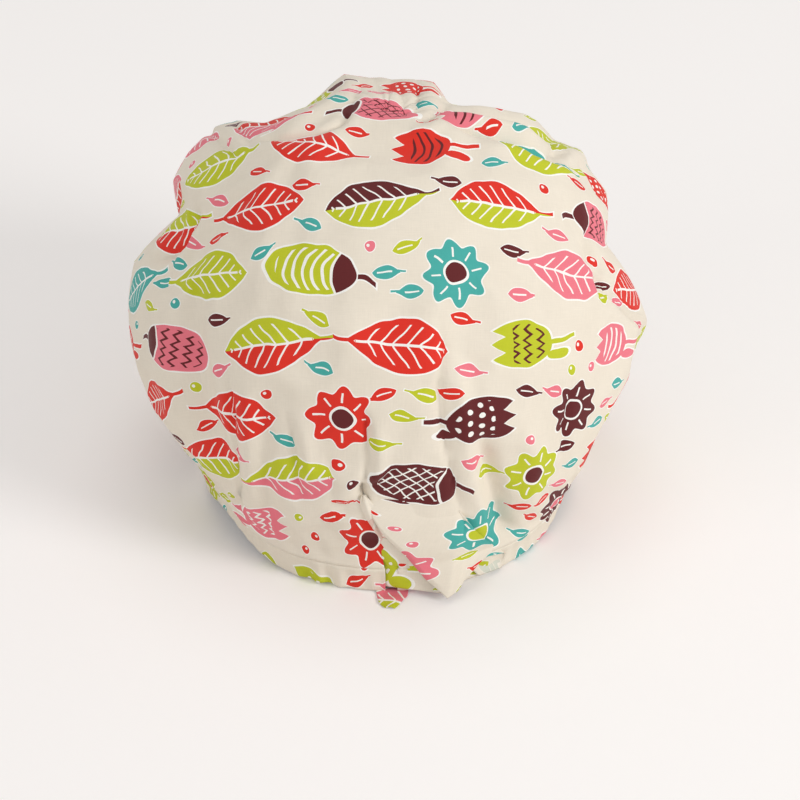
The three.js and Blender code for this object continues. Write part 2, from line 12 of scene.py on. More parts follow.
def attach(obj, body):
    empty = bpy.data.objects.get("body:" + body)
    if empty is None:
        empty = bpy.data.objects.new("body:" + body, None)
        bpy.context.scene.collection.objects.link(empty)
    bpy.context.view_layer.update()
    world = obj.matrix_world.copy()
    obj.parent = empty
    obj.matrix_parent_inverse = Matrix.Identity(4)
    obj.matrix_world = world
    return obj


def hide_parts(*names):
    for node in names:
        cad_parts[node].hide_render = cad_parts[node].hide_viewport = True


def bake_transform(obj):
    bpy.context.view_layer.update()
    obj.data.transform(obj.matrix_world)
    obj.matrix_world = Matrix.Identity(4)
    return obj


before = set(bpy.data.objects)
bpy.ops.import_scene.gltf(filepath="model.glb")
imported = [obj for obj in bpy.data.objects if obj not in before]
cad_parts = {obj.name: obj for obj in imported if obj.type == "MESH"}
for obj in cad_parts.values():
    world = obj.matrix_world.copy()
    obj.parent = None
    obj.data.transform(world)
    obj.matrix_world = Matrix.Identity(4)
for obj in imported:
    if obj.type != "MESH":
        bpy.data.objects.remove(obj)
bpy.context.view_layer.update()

MM = 0.001

# The cap's sizes, in millimetres from the middle of the head opening, on the plane of the rim.
# An azimuth is measured from the nape and grows towards the wearer's left (+X).
RIM_CENTRE = np.array([0.179, 18.633, 0.0])
RIM_HALF_WIDTH = 88.0
RIM_HALF_LENGTH = 94.0
BAND_HEIGHT = 58.0
BAND_START = math.radians(100)
BAND_ENDS = (BAND_START, 2 * math.pi - BAND_START)
BAND_LEAN = math.radians(16)
HEM_HEIGHT = 14.0
SEAM_LAP = 3.0
# Over each ear the rim rises: place and spread in degrees from the nape, and how far.
EAR_LIFTS = [(61, 17, 12.0), (-74, 13, 9.0)]
EAR_LIFT_TOP = 60.0
# The hem and the bag lean out at their seam: how far, and how far down and up that reaches.
FLARE_AT_NAPE, FLARE_MORE_AT_EARS = 1.7, 1.6
FLARE_DOWN, FLARE_UP = 9.0, 7.0
# The bag starts a little above its seam and inside the rim wall.
BAG_FOOT = 0.5
BAG_FACE = -1.3
PUFF_HALF_WIDTH = 120.0
PUFF_REAR_HALF = 119.0
PUFF_FRONT_HALF = 128.0
PUFF_FORWARD = 18.0
PUFF_MIDDLE = 78.0
PUFF_TOP = 190.0
PUFF_START = math.radians(-62)
PUFF_ROUNDING = 0.95
WORN_TILT = math.radians(35)

# Layers: how far outside the rim wall their faces lie, less than 0 for inside it, and how thick
# they are.
CLOTH_THICKNESS = 0.35
BAND_THICKNESS = 0.4
STIFFENER_FACE, STIFFENER_THICKNESS = -1.6, 0.4
ELASTIC_FACE, ELASTIC_THICKNESS = -2.6, 0.8
ELASTIC_EDGES = (2.2, 10.0)
LINING_FACE = -3.0
PAD_FACE, PAD_THICKNESS = -4.0, 2.3
TIE_FACE, TIE_THICKNESS = -4.4, 0.5
# A tie's lower and upper edge at the knot, how far they run down to the band's end, where it
# starts, and between which azimuths it slopes.
TIE_AT_KNOT = (30.0, 48.0)
TIE_DROPS = (28.0, 20.0)
TIE_START = 0.06
TIE_SLOPE = (0.05, 0.57)
# The band's inner layers stay this far above the rim and below the seam.
LAYER_FOOT = 1.8
LAYER_GAP = 0.4

# Millimetres of flat cloth for each radian over the puff, and moves of the print, in millimetres
# of flat cloth, on pieces that are cut on their own.
CLOTH_SPREAD = 122.0
BAND_PRINT_MOVE = np.array([400.0, 250.0])
WIDE_PRINT_MOVE = np.array([-14.0, -13.0])
FOLD_PRINT_MOVE = np.array([31.0, -19.0])
SHORT_PRINT_MOVE = np.array([70.0, 120.0])
STIFFENER_MOVE, ELASTIC_MOVE, TIE_PRINT_MOVE = 60.0, 20.0, 130.0

# The view from behind, along the line that WORN_TILT gives. A place in it is counted across and
# down in steps of VIEW_STEP millimetres, and the middle of the rim is seen at VIEW_MIDDLE.
CAMERA_DISTANCE = 1640.0
VIEW_DEPTH = 40.0
VIEW_MIDDLE = (388.0, 475.0)
VIEW_STEP = 0.47
VIEW_HALF = 400.0

BACK = np.array([0.0, math.cos(WORN_TILT), math.sin(WORN_TILT)])
UP = np.array([0.0, -math.sin(WORN_TILT), math.cos(WORN_TILT)])
SIDE = np.array([1.0, 0.0, 0.0])
PUFF_CENTRE = np.array([0.0, -PUFF_FORWARD, PUFF_MIDDLE])


def placed(points):
    """Millimetres from the middle of the head opening, as metres in the part's frame."""
    return (np.asarray(points, float) + RIM_CENTRE) * MM


def smoothstep(value, low, high):
    """0 up to low, 1 from high on, and a soft step between them."""
    share = np.clip((value - low) / (high - low), 0, 1)
    return share * share * (3 - 2 * share)


def bell(value, middle, spread):
    """1 in the middle, falling softly to 0 on both sides."""
    return np.exp(-(((value - middle) / spread) ** 2))


def swell(share):
    """0 at both ends of a share from 0 to 1, and 1 halfway."""
    return np.sin(np.pi * share)


def along(line, share):
    """Points at shares of the length of a line, which is measured on its first two columns."""
    line = np.asarray(line, float)
    steps = np.linalg.norm(np.diff(line[:, :2], axis=0), axis=1)
    reach = np.concatenate([[0], np.cumsum(steps)])
    columns = [np.interp(share * reach[-1], reach, column) for column in line.T]
    return np.stack(columns, -1)


def line_distance(places, line):
    """Distance from places to a line, and at what share of its length they are."""
    line = np.asarray(line, float)
    best = np.full(places.shape[:-1], np.inf)
    share = np.zeros_like(best)
    steps = np.linalg.norm(np.diff(line, axis=0), axis=1)
    before, total = 0.0, steps.sum()
    for start, end, step in zip(line[:-1], line[1:], steps):
        direction = (end - start) / step
        reach = np.clip((places - start) @ direction, 0, step)
        gap = np.linalg.norm(places - start - reach[..., None] * direction, axis=-1)
        nearer = gap < best
        share = np.where(nearer, (before + reach) / total, share)
        best = np.where(nearer, gap, best)
        before += step
    return best, share


# ---- Shape of the cap


def turned_from_nape(azimuth):
    """An azimuth as an angle from -pi to pi."""
    return (azimuth + np.pi) % (2 * np.pi) - np.pi


def front_share(azimuth):
    """0 along the hem, growing from the band's ends to 1 at the middle of the forehead."""
    return smoothstep(np.abs(turned_from_nape(azimuth)), BAND_START, math.pi)


def seam_height(azimuth):
    return HEM_HEIGHT + (BAND_HEIGHT - HEM_HEIGHT) * front_share(azimuth)


def rim_point(azimuth, height, outside):
    """A point on the rim wall, at a height and a distance outside the wall."""
    degrees = np.degrees(turned_from_nape(azimuth))
    lift = sum(most * bell(degrees, place, spread) for place, spread, most in EAR_LIFTS)
    height = height + lift * np.clip(1 - height / EAR_LIFT_TOP, 0, 1)
    lean = math.tan(BAND_LEAN) * front_share(azimuth) * height
    x = (RIM_HALF_WIDTH + outside + lean) * np.sin(azimuth)
    y = (RIM_HALF_LENGTH + outside + lean) * np.cos(azimuth)
    return np.stack(np.broadcast_arrays(x, y, height), -1).astype(float)


def seam_point(azimuth, above, outside):
    """A point beside the seam between the bag and the hem or band."""
    return rim_point(azimuth, seam_height(azimuth) + above, outside)


def above_seam(points, azimuth):
    """How far points are above the foot of the bag."""
    return points[..., 2] - seam_point(azimuth, BAG_FOOT, 0)[..., 2]


def seam_flare(azimuth, rise):
    """How far the hem and the cloth above it lean out, so that one runs into the other."""
    turn = np.abs(turned_from_nape(azimuth))
    full = FLARE_AT_NAPE + FLARE_MORE_AT_EARS * smoothstep(turn, 0.25, 0.7)
    full = full * (1 - smoothstep(turn, 1.45, BAND_START))
    reach = np.where(rise < 0, FLARE_DOWN, FLARE_UP)
    return full * np.clip(1 - np.abs(rise) / reach, 0, 1) ** 2


def elastic_ripple(azimuth):
    """Small uneven waves, from -1 to 1, of cloth that the elastic draws in."""
    return np.cos(azimuth * 61 + 2.4 * np.sin(azimuth * 7))


def puff_normal(points):
    half_length = np.where(points[..., 1] > -PUFF_FORWARD, PUFF_REAR_HALF, PUFF_FRONT_HALF)
    x = points[..., 0] / PUFF_HALF_WIDTH**2
    y = (points[..., 1] + PUFF_FORWARD) / half_length**2
    z = (points[..., 2] - PUFF_MIDDLE) / (PUFF_TOP - PUFF_MIDDLE) ** 2
    normal = np.stack([x, y, z], -1)
    return normal / np.linalg.norm(normal, axis=-1, keepdims=True)


def puff_out(cosine):
    """How far the lower wall is out from the seam towards the widest oval, from 0 to 1."""
    return (cosine - math.cos(PUFF_START)) / (1 - math.cos(PUFF_START))


def puff_point(azimuth, climb):
    """The smooth puff, before its folds."""
    seam = seam_point(azimuth, BAG_FOOT, BAG_FACE)
    half_length = np.where(np.cos(azimuth) > 0, PUFF_REAR_HALF, PUFF_FRONT_HALF)
    x = PUFF_HALF_WIDTH * np.sin(azimuth)
    y = half_length * np.cos(azimuth) - PUFF_FORWARD
    wide = np.stack([x, y, np.full_like(azimuth, PUFF_MIDDLE)], -1)
    below = seam + (wide - seam) * puff_out(np.cos(climb))[..., None]
    drop = np.sin(climb) / math.sin(PUFF_START)
    below[..., 2] = PUFF_MIDDLE + (seam[..., 2] - PUFF_MIDDLE) * drop
    level = (np.clip(np.cos(climb), 0, 1) ** PUFF_ROUNDING)[..., None]
    above = PUFF_CENTRE + (wide - PUFF_CENTRE) * level
    above[..., 2] = PUFF_MIDDLE + (PUFF_TOP - PUFF_MIDDLE) * np.sin(climb)
    return np.where((climb < 0)[..., None], below, above)


def back_section(height):
    """Half width, half length and middle of the back wall's oval at a height."""
    drop = np.clip((PUFF_MIDDLE - height) / (PUFF_MIDDLE - HEM_HEIGHT - BAG_FOOT), 0, 1)
    out = puff_out(np.sqrt(1 - (drop * math.sin(PUFF_START)) ** 2))
    rise = np.clip((height - PUFF_MIDDLE) / (PUFF_TOP - PUFF_MIDDLE), 0, 1)
    level = np.sqrt(1 - rise**2) ** PUFF_ROUNDING
    lower = height < PUFF_MIDDLE
    halves = []
    for rim, puff in ((RIM_HALF_WIDTH, PUFF_HALF_WIDTH), (RIM_HALF_LENGTH, PUFF_REAR_HALF)):
        foot = rim + BAG_FACE
        halves.append(np.where(lower, foot + (puff - foot) * out, puff * level))
    return halves[0], halves[1], np.where(lower, -PUFF_FORWARD * out, -PUFF_FORWARD)


def back_wall(x, height):
    half_width, half_length, middle = back_section(height)
    return half_length * np.sqrt(np.clip(1 - (x / half_width) ** 2, 0.01, 1)) + middle


def view_scale(points):
    """Steps of the view in a millimetre, at the distance of the points from the camera."""
    return (CAMERA_DISTANCE - VIEW_DEPTH) / (CAMERA_DISTANCE - points @ BACK) / VIEW_STEP


def seen_at(points):
    """Where points are seen in the view from behind."""
    scale = view_scale(points)
    across = VIEW_MIDDLE[0] - (points @ SIDE) * scale
    down = VIEW_MIDDLE[1] - (points @ UP) * scale
    return np.stack([across, down], -1)


def on_back(seen, lift=0.0):
    """The places on the smooth back wall seen at some places of the view, moved towards the
    camera by lift."""
    seen = np.asarray(seen, float)
    scale = np.full(seen.shape[:-1], 1 / VIEW_STEP)
    for _ in range(5):
        x = (VIEW_MIDDLE[0] - seen[..., 0]) / scale
        rise = (VIEW_MIDDLE[1] - seen[..., 1]) / scale
        low, high = np.full(x.shape, -60.0), np.full(x.shape, PUFF_TOP)
        for _ in range(40):
            middle = (low + high) / 2
            above = middle * UP[2] + back_wall(x, middle) * UP[1] > rise
            low, high = np.where(above, low, middle), np.where(above, middle, high)
        points = np.stack([x, back_wall(x, low), low], -1)
        points = points + np.asarray(lift)[..., None] * BACK
        scale = view_scale(points)
    return points


def round_the_back(points):
    """Degrees from the line that points straight back, and the place in degrees about it."""
    arm = points - PUFF_CENTRE
    turn = np.arccos(np.clip(arm @ BACK / np.linalg.norm(arm, axis=-1), -1, 1))
    return np.degrees(turn), np.degrees(np.arctan2(arm @ UP, arm @ SIDE))


def flat_place(points):
    """Where points of the smooth cap lie on the flat printed cloth, in millimetres."""
    arm = points - PUFF_CENTRE
    heading = np.stack([arm @ SIDE, arm @ UP], -1)
    heading /= np.linalg.norm(heading, axis=-1, keepdims=True) + 1e-9
    turn, _ = round_the_back(points)
    return heading * (np.radians(turn) * CLOTH_SPREAD)[..., None]


# Lobes and notches of the puff, all round it as seen from behind: place in degrees about the line
# that points straight back, and how far the cloth stands out there in millimetres.
LOBES = [
    (-40, -0.9), (-24, -2.0), (-10, 0.0), (4, 2.4), (12.5, 2.5), (26, -10.3), (33, 1.2),
    (40, 3.2), (48, 3.2), (53, -1.0), (58, -10.1), (62, -11.0), (69, -11.0), (73, -8.0),
    (80, -0.2), (86, -2.3), (93, -3.9), (101, -4.0), (106, -11.5), (113, -10.5), (120, -7.4),
    (127, -2.2), (133, -3.0), (139, 0.9), (150, 1.4), (153, -2.0), (161.5, -11.2), (170, -5.0),
    (181.5, 2.6), (186, -0.3), (200, -3.8), (214, -2.9), (224, -0.5), (270, 0.0), (320, -0.9),
]
LOBE_RING = 92.0
LOBE_SPREAD = 25.0
FRONT_PLEATS = 12
FRONT_PLEAT_DEPTH = 6.0
FRONT_PLEAT_SPREAD = 42.0

# Creases of the back, along places of the view: half width in its steps, depth in millimetres
# (less than 0 for a ridge) and how sharp the bottom is, from 0 to 1.
BACK_CREASES = [
    # soft valley between the left lobe and the back
    ([(186, 230), (190, 262), (191, 300), (193, 340), (198, 384), (207, 428), (222, 468),
      (236, 505)], 14, 5.5, 0.0),
    ([(152, 250), (160, 300), (164, 350), (172, 400), (186, 445)], 14, -2.6, 0.0),
    # tucks that rise from the left hem
    ([(226, 360), (231, 395), (234, 430), (235, 465), (236, 500), (238, 532)], 4, 3.2, 0.85),
    ([(246, 380), (250, 430), (250, 480), (252, 520)], 8, -2.0, 0.0),
    ([(262, 400), (266, 440), (268, 490), (270, 530)], 7, 1.4, 0.2),
    ([(286, 405), (292, 440), (297, 470), (301, 505)], 4, 2.0, 0.7),
    ([(303, 425), (307, 455), (312, 490)], 7, -1.4, 0.0),
    ([(326, 450), (331, 480), (334, 505)], 4, 1.1, 0.6),
    # folds that meet at the pucker
    ([(362, 405), (366, 430), (368, 462), (363, 492)], 4, 2.8, 0.6),
    ([(377, 425), (381, 460), (376, 490)], 7, -1.8, 0.0),
    ([(326, 505), (344, 507), (360, 500)], 4, 2.2, 0.6),
    ([(322, 520), (345, 520), (366, 516)], 4, -1.6, 0.2),
    ([(394, 466), (380, 482), (366, 495)], 5, 1.8, 0.5),
    # long fold from the middle of the back to the wide tie end
    ([(438, 318), (446, 352), (438, 390), (441, 425), (449, 465), (457, 500), (464, 530)],
      5, 3.0, 0.75),
    ([(457, 345), (459, 385), (464, 430), (473, 480), (482, 520)], 10, -2.6, 0.0),
    # hollow beside it
    ([(476, 424), (486, 462), (496, 500), (504, 540), (511, 572)], 12, 6.4, 0.1),
    # right-hand wall
    ([(530, 420), (533, 470), (531, 520)], 12, -2.2, 0.0),
    ([(572, 380), (567, 420), (560, 470)], 5, 2.0, 0.5),
    ([(604, 256), (599, 280), (603, 297), (611, 308)], 4, 2.6, 0.8),
    ([(587, 262), (604, 290), (624, 312), (645, 333)], 4, 3.4, 0.75),
    ([(606, 288), (616, 301), (627, 311), (640, 318)], 3, -1.8, 0.3),
    ([(594, 215), (588, 240), (592, 268)], 5, 2.8, 0.6),
    # right end of the top seam, where tight folds meet
    ([(436, 114), (458, 124), (506, 138), (524, 146), (552, 160), (574, 166)], 4, 4.6, 0.75),
    ([(440, 108), (478, 119), (514, 129), (546, 145)], 5, -3.4, 0.1),
    ([(442, 102), (474, 112), (513, 119), (541, 130), (562, 136)], 4, 4.2, 0.75),
    ([(470, 140), (520, 154), (556, 172), (582, 180)], 6, -2.0, 0.1),
    ([(540, 130), (556, 140), (553, 150), (552, 162)], 4, 4.0, 0.7),
    ([(553, 151), (566, 154)], 5, 4.5, 0.4),
    ([(562, 158), (577, 152), (592, 160)], 7, -1.6, 0.0),
    ([(460, 96), (500, 104), (540, 118)], 6, -2.6, 0.1),
    ([(575, 158), (590, 174), (604, 200)], 5, 3.2, 0.6),
    # pucker at the middle of the top
    ([(446, 86), (447, 98), (440, 108), (430, 116), (414, 120)], 4, 3.4, 0.75),
    ([(418, 74), (420, 92), (416, 110)], 4, 2.6, 0.8),
    ([(398, 78), (404, 96), (406, 116)], 5, 1.8, 0.5),
    ([(408, 130), (428, 132), (446, 120)], 6, -2.4, 0.2),
    # fold that runs from the upper left notch to the top
    ([(264, 126), (252, 140), (285, 137), (320, 132), (345, 120), (353, 104), (362, 82)],
      4, 3.4, 0.7),
    ([(262, 128), (300, 118), (330, 102), (348, 86)], 8, -2.2, 0.1),
    ([(250, 152), (290, 149), (330, 144), (352, 132)], 7, -1.8, 0.1),
    # upper left lobe
    ([(205, 128), (222, 142), (240, 158)], 5, 2.8, 0.6),
    ([(232, 120), (246, 134), (256, 150)], 5, 2.2, 0.6),
    ([(188, 186), (194, 209), (181, 238), (166, 252), (150, 262)], 4, 4.2, 0.75),
    ([(196, 222), (184, 246), (172, 262)], 6, -2.2, 0.1),
]
# A crease is crisp from this sharpness on, and a sharp one is so much narrower.
CRISP_FROM = 0.45
KEEN_WIDTH = 0.6
# How much of the print a crisp crease hides, as a share of its depth, and how far that is felt.
HIDDEN_SHARE = 1.1
HIDDEN_FADE = 26.0
# The pucker at the knot: its place, depth and reach, and how narrow it is for its height.
PUCKER = (362.5, 494.0)
PUCKER_DEPTH = 7.0
PUCKER_REACH = 7.0
PUCKER_NARROW = 0.6

# Gathers at the forehead band, and the small ripples above the elastic hem.
GATHERS = 28
GATHER_DEPTH = 8.5
# Each gather draws its share of that depth, its length in mm and its half width in radians.
GATHER_DEPTH_SHARES = (0.55, 1.15)
GATHER_LENGTHS = (34, 90)
GATHER_HALVES = (0.024, 0.036)
GATHER_MARGIN, GATHER_STRAY = 0.03, 0.018
HEM_RIPPLE = 0.45
# Slack of the thin cloth: height, size and seed of its uneven spots, which are drawn out upwards.
SLACK = [(1.1, 30, 3.1), (0.45, 13, 8.7)]
SLACK_STRETCH = np.array([1.0, 1.0, 0.55])


def hidden_print(points, flat):
    """Flat places moved apart at the crisp creases, where a little of the print is hidden."""
    seen = seen_at(points)
    facing = smoothstep(puff_normal(points) @ BACK, -0.1, 0.1)
    moved = flat.copy()
    for line, _, depth, sharp in BACK_CREASES:
        if sharp < CRISP_FROM or depth < 0:
            continue
        gap, share = line_distance(seen, line)
        heading = np.subtract(line[-1], line[0])
        across = np.array([-heading[1], heading[0]]) / np.linalg.norm(heading)
        side = np.tanh(((seen - along(line, share)) @ across) / 1.5)
        ends = smoothstep(share, 0, 0.25) * (1 - smoothstep(share, 0.75, 1))
        far = np.exp(-gap / HIDDEN_FADE) * ends * facing
        moved -= (side * far)[..., None] * across * (depth * HIDDEN_SHARE)
    return moved


def gather_places():
    """Azimuth, depth, length and half width of each gather at the forehead band."""
    chance = np.random.default_rng(11)
    first, last = BAND_ENDS
    middles = np.linspace(first + GATHER_MARGIN, last - GATHER_MARGIN, GATHERS)
    middles = middles + chance.uniform(-GATHER_STRAY, GATHER_STRAY, GATHERS)
    depths = GATHER_DEPTH * chance.uniform(*GATHER_DEPTH_SHARES, GATHERS)
    lengths = chance.uniform(*GATHER_LENGTHS, GATHERS)
    halves = chance.uniform(*GATHER_HALVES, GATHERS)
    return zip(middles, depths, lengths, halves)


def crumple(points, size, seed):
    """Smooth random heights from -1 to 1 over points, at a size in millimetres."""
    flat = points.reshape(-1, 3) / size + seed
    values = np.array([noise.noise(Vector(point)) for point in flat])
    return values.reshape(points.shape[:-1])


def lobe_heights(turn, fan):
    places, reaches = np.array(LOBES).T
    lobes = np.interp(np.mod(fan - places[0], 360) + places[0], places, reaches)
    return lobes * bell(turn, LOBE_RING, LOBE_SPREAD)


def crease_depths(seen, crisp):
    """Depths of the creases of the back, with or without the crisp ones."""
    depths = np.zeros(seen.shape[:-1])
    for line, half, depth, sharp in BACK_CREASES:
        if sharp > CRISP_FROM and not crisp:
            continue
        gap, share = line_distance(seen, line)
        keen = np.exp(-gap / (half * KEEN_WIDTH))
        ends = smoothstep(share, 0, 0.3) * (1 - smoothstep(share, 0.78, 1))
        profile = bell(gap, 0, half) * (1 - sharp) + keen * sharp
        depths += depth * profile * (0.15 + 0.85 * ends)
    return depths


def gather_depths(azimuth, rise):
    """Depths of the gathers at the forehead band, which widen and fade upwards."""
    depths = np.zeros(azimuth.shape)
    up = np.clip(rise, 0, None)
    for middle, depth, length, half in gather_places():
        fade = np.exp(-((up / length) ** 1.4)) * smoothstep(rise, 0.2, 5)
        spread = half * (1 + up / 70)
        keen = np.exp(-abs(azimuth - middle) / spread)
        depths += depth * fade * (0.4 * bell(azimuth, middle, spread) + 0.6 * keen)
    return depths


def fold_height(points, azimuth, climb, crisp=True):
    """How far the folds, tucks and gathers move the cloth outwards from the smooth puff."""
    azimuth = np.mod(azimuth, 2 * math.pi)
    seen = seen_at(points)
    facing = smoothstep(puff_normal(points) @ BACK, -0.12, 0.1)
    rise = above_seam(points, azimuth)
    height = lobe_heights(*round_the_back(points))
    pleats = np.cos(azimuth * FRONT_PLEATS) * front_share(azimuth)
    low_down = bell(np.degrees(climb - PUFF_START), 0, FRONT_PLEAT_SPREAD)
    height += FRONT_PLEAT_DEPTH * pleats * low_down
    height *= smoothstep(climb, PUFF_START, PUFF_START / 2)
    height -= crease_depths(seen, crisp) * facing * smoothstep(rise, 0.5, 11)
    pit = np.hypot((seen[..., 0] - PUCKER[0]) / PUCKER_NARROW, seen[..., 1] - PUCKER[1])
    height -= PUCKER_DEPTH * np.exp(-((pit / PUCKER_REACH) ** 1.5)) * facing
    if crisp:
        height -= gather_depths(azimuth, rise)
    ripple = elastic_ripple(azimuth) * (0.6 + 0.4 * np.sin(azimuth * 13 + 1))
    near_hem = np.exp(-np.clip(rise, 0, None) / 9) * smoothstep(rise, 0.2, 3)
    height += HEM_RIPPLE * ripple * near_hem * (1 - front_share(azimuth))
    spots = points * SLACK_STRETCH
    slack = sum(most * crumple(spots, size, seed) for most, size, seed in SLACK)
    return height + slack * smoothstep(rise, 0, 12) * (1 - 0.5 * facing)


# ---- Materials


def srgb(red, green, blue):
    """A colour as a screen shows it, from 0 to 255, as the shader takes it."""
    parts = [value / 255 for value in (red, green, blue)]
    linear = [p / 12.92 if p <= 0.04045 else ((p + 0.055) / 1.055) ** 2.4 for p in parts]
    return (*linear, 1.0)


CREAM = srgb(238, 229, 213)
CREAM_SHADE = srgb(231, 221, 204)
PRINT_WHITE = srgb(248, 246, 240)
RED = srgb(224, 48, 34)
PINK = srgb(236, 122, 136)
LIME = srgb(193, 200, 40)
TEAL = srgb(72, 172, 164)
MAROON = srgb(98, 32, 34)

# Layout of the print: cells for the motifs, in millimetres of flat cloth, and the share of the
# large cells up to which each kind of motif is drawn.
LARGE_CELL = (61, 34.5)
SMALL_CELL = (17.5, 11.5)
LEAVES_TO, GOURDS_TO, TULIPS_TO, BERRIES_TO = 0.3, 0.56, 0.72, 0.84
SMALL_LEAVES_TO = 0.74
WHITE_EDGE = 0.75
SMALL_WHITE_EDGE = 0.45
CLEAR_OF_LARGE = 6.2
THREAD_PITCH = 0.42


def feed(tree, socket, value):
    """Gives an input its value: a plain one, or what another node puts out."""
    if isinstance(value, Field):
        value = value.socket
    if isinstance(value, bpy.types.NodeSocket):
        tree.links.new(value, socket)
    elif value is not None:
        socket.default_value = value


def add_node(tree, kind, inputs, operation=None, data_type=None, group=None):
    """A new node, with some of its inputs given by name or place."""
    node = tree.nodes.new(kind)
    if operation:
        node.operation = operation
    if data_type:
        node.data_type = data_type
    if group:
        node.node_tree = group
    for place, value in inputs.items():
        feed(tree, node.inputs[place], value)
    return node


class Field:
    """A number that changes over the cloth, as a socket of a node tree."""

    def __init__(self, tree, socket):
        self.tree, self.socket = tree, socket

    def math(self, operation, *others):
        inputs = dict(enumerate([self, *others]))
        return Field(self.tree, add_node(self.tree, "ShaderNodeMath", inputs, operation).outputs[0])

    def __add__(self, other):
        return self.math("ADD", other)

    def __sub__(self, other):
        return self.math("SUBTRACT", other)

    def __rsub__(self, other):
        return self * -1 + other

    def __mul__(self, other):
        return self.math("MULTIPLY", other)

    def __truediv__(self, other):
        return self.math("DIVIDE", other)

    def __abs__(self):
        return self.math("ABSOLUTE")

    def below(self, other):
        return self.math("LESS_THAN", other)

    def above(self, other):
        return self.math("GREATER_THAN", other)

    def at_least(self, other):
        return self.math("MAXIMUM", other)

    def at_most(self, other):
        return self.math("MINIMUM", other)

    def fraction(self):
        return self.math("FRACT")


def new_group(name, inputs, outputs):
    """An empty shader group with named sockets, and its input and output nodes."""
    tree = bpy.data.node_groups.new(name, "ShaderNodeTree")
    for way, sockets in (("INPUT", inputs), ("OUTPUT", outputs)):
        for label, kind in sockets:
            tree.interface.new_socket(label, in_out=way, socket_type="NodeSocket" + kind)
    return tree, tree.nodes.new("NodeGroupInput"), tree.nodes.new("NodeGroupOutput")


def split(tree, vector):
    node = add_node(tree, "ShaderNodeSeparateXYZ", {0: vector})
    return [Field(tree, socket) for socket in node.outputs]


def joined(tree, *numbers):
    return add_node(tree, "ShaderNodeCombineXYZ", dict(enumerate(numbers))).outputs[0]


def chosen(tree, mask, first, second):
    """second where mask is 1, and first where it is 0."""
    inputs = {"Factor": mask, 6: first, 7: second}
    return add_node(tree, "ShaderNodeMix", inputs, data_type="RGBA").outputs[2]


def noise_texture(tree, where, scale, detail):
    inputs = {"Vector": where, "Scale": scale, "Detail": detail}
    return add_node(tree, "ShaderNodeTexNoise", inputs)


def chance_at(tree, x, y, seed):
    """Three random numbers for each cell of the print's layout."""
    node = add_node(tree, "ShaderNodeTexWhiteNoise", {"Vector": joined(tree, x, y, seed)})
    parts = add_node(tree, "ShaderNodeSeparateColor", {0: node.outputs["Color"]})
    return [Field(tree, socket) for socket in parts.outputs]


def ink(tree, value, inks):
    """One of some flat inks, by a number from 0 to 1."""
    node = add_node(tree, "ShaderNodeValToRGB", {0: value})
    node.color_ramp.interpolation = "CONSTANT"
    ramp = node.color_ramp.elements
    for place, (start, colour) in enumerate(inks):
        stop = ramp[0] if place == 0 else ramp.new(start)
        stop.position, stop.color = start, colour
    while len(ramp) > len(inks):
        ramp.remove(ramp[-1])
    return node.outputs[0]


def laid_cells(tree, place, cell, seed, jitter, tilt):
    """Cells laid in bricks over the cloth: the place in a cell, three random numbers for it, and
    where its middle is."""
    u, v, _ = split(tree, place)
    width, height = cell
    row = (v / height).math("FLOOR")
    shifted = u / width + row * 0.43
    column = shifted.math("FLOOR")
    first = chance_at(tree, column, row, seed)
    second = chance_at(tree, column, row, seed + 7)
    x = (shifted - column - 0.5 - (first[0] - 0.5) * jitter) * width
    y = (v / height - row - 0.5 - (first[1] - 0.5) * jitter) * height
    angle = (first[2] - 0.5) * tilt
    cosine, sine = angle.math("COSINE"), angle.math("SINE")
    facing = (first[2] * 7).fraction().above(0.5) * 2 - 1
    across = (x * cosine + y * sine) * facing
    return across, y * cosine - x * sine, second, joined(tree, u - x, v - y)


# A motif is drawn from distances in millimetres, which are less than 0 inside its outline or lines.


def lines_across(value, pitch, width):
    """Even lines square to the way in which value grows."""
    return abs((value / pitch).fraction() - 0.5) * pitch - width / 2


def oval(x, y, half_length, half_width):
    size = (x / half_length * (x / half_length) + y / half_width * (y / half_width)).math("SQRT")
    return (size - 1) * half_width


def band_between(value, low, high):
    return abs(value - (low + high) / 2) - (high - low) / 2


def leaf_shape(x, y):
    """A pointed leaf on a curved stalk, and its veins."""
    half_length, half_width = 25, 12.5
    reach = x / half_length
    belly = (1 - reach * reach) * (1 - reach * 0.3) * half_width
    blade = (abs(y) - belly) * 0.8
    bow = abs(y - (x - half_length) * (x - half_length) * 0.03) - 0.9
    rib = (abs(y) - 0.6).at_least(abs(x) - 20)
    veins = lines_across(x + abs(y) * 0.75, 6.0, 1.0).at_least(blade + 2.2)
    return blade.at_most(bow.at_least(band_between(x, 22, 31))), rib.at_most(veins)


def flower_shape(radius, angle):
    """A round flower with eight petals, its gaps and the ring round its eye."""
    outline = radius - ((angle * 8).math("COSINE") * 1.9 + 14.2)
    gaps = abs((angle * 4).math("SINE")) * radius * 0.25 - 0.45
    gaps = gaps.at_least(band_between(radius, 7.5, 12.5))
    return outline, gaps.at_most(abs(radius - 5.4) - 0.55)


def gourd_shape(x, y):
    """A gourd with a dark cap on one end, and the curved white line where the cap ends."""
    half_length, half_width = 21.5, 11.8
    swelling = (x / 21 * -0.16 + 1) * half_width
    body = oval(x, y, half_length, half_width) + (half_width - swelling)
    bow = abs(y - (x - 21) * (x - 21) * -0.06) - 1.3
    rim_of_cap = x - y * y * 0.035 - 6.5
    return body.at_most(bow.at_least(band_between(x, 19, 28))), rim_of_cap


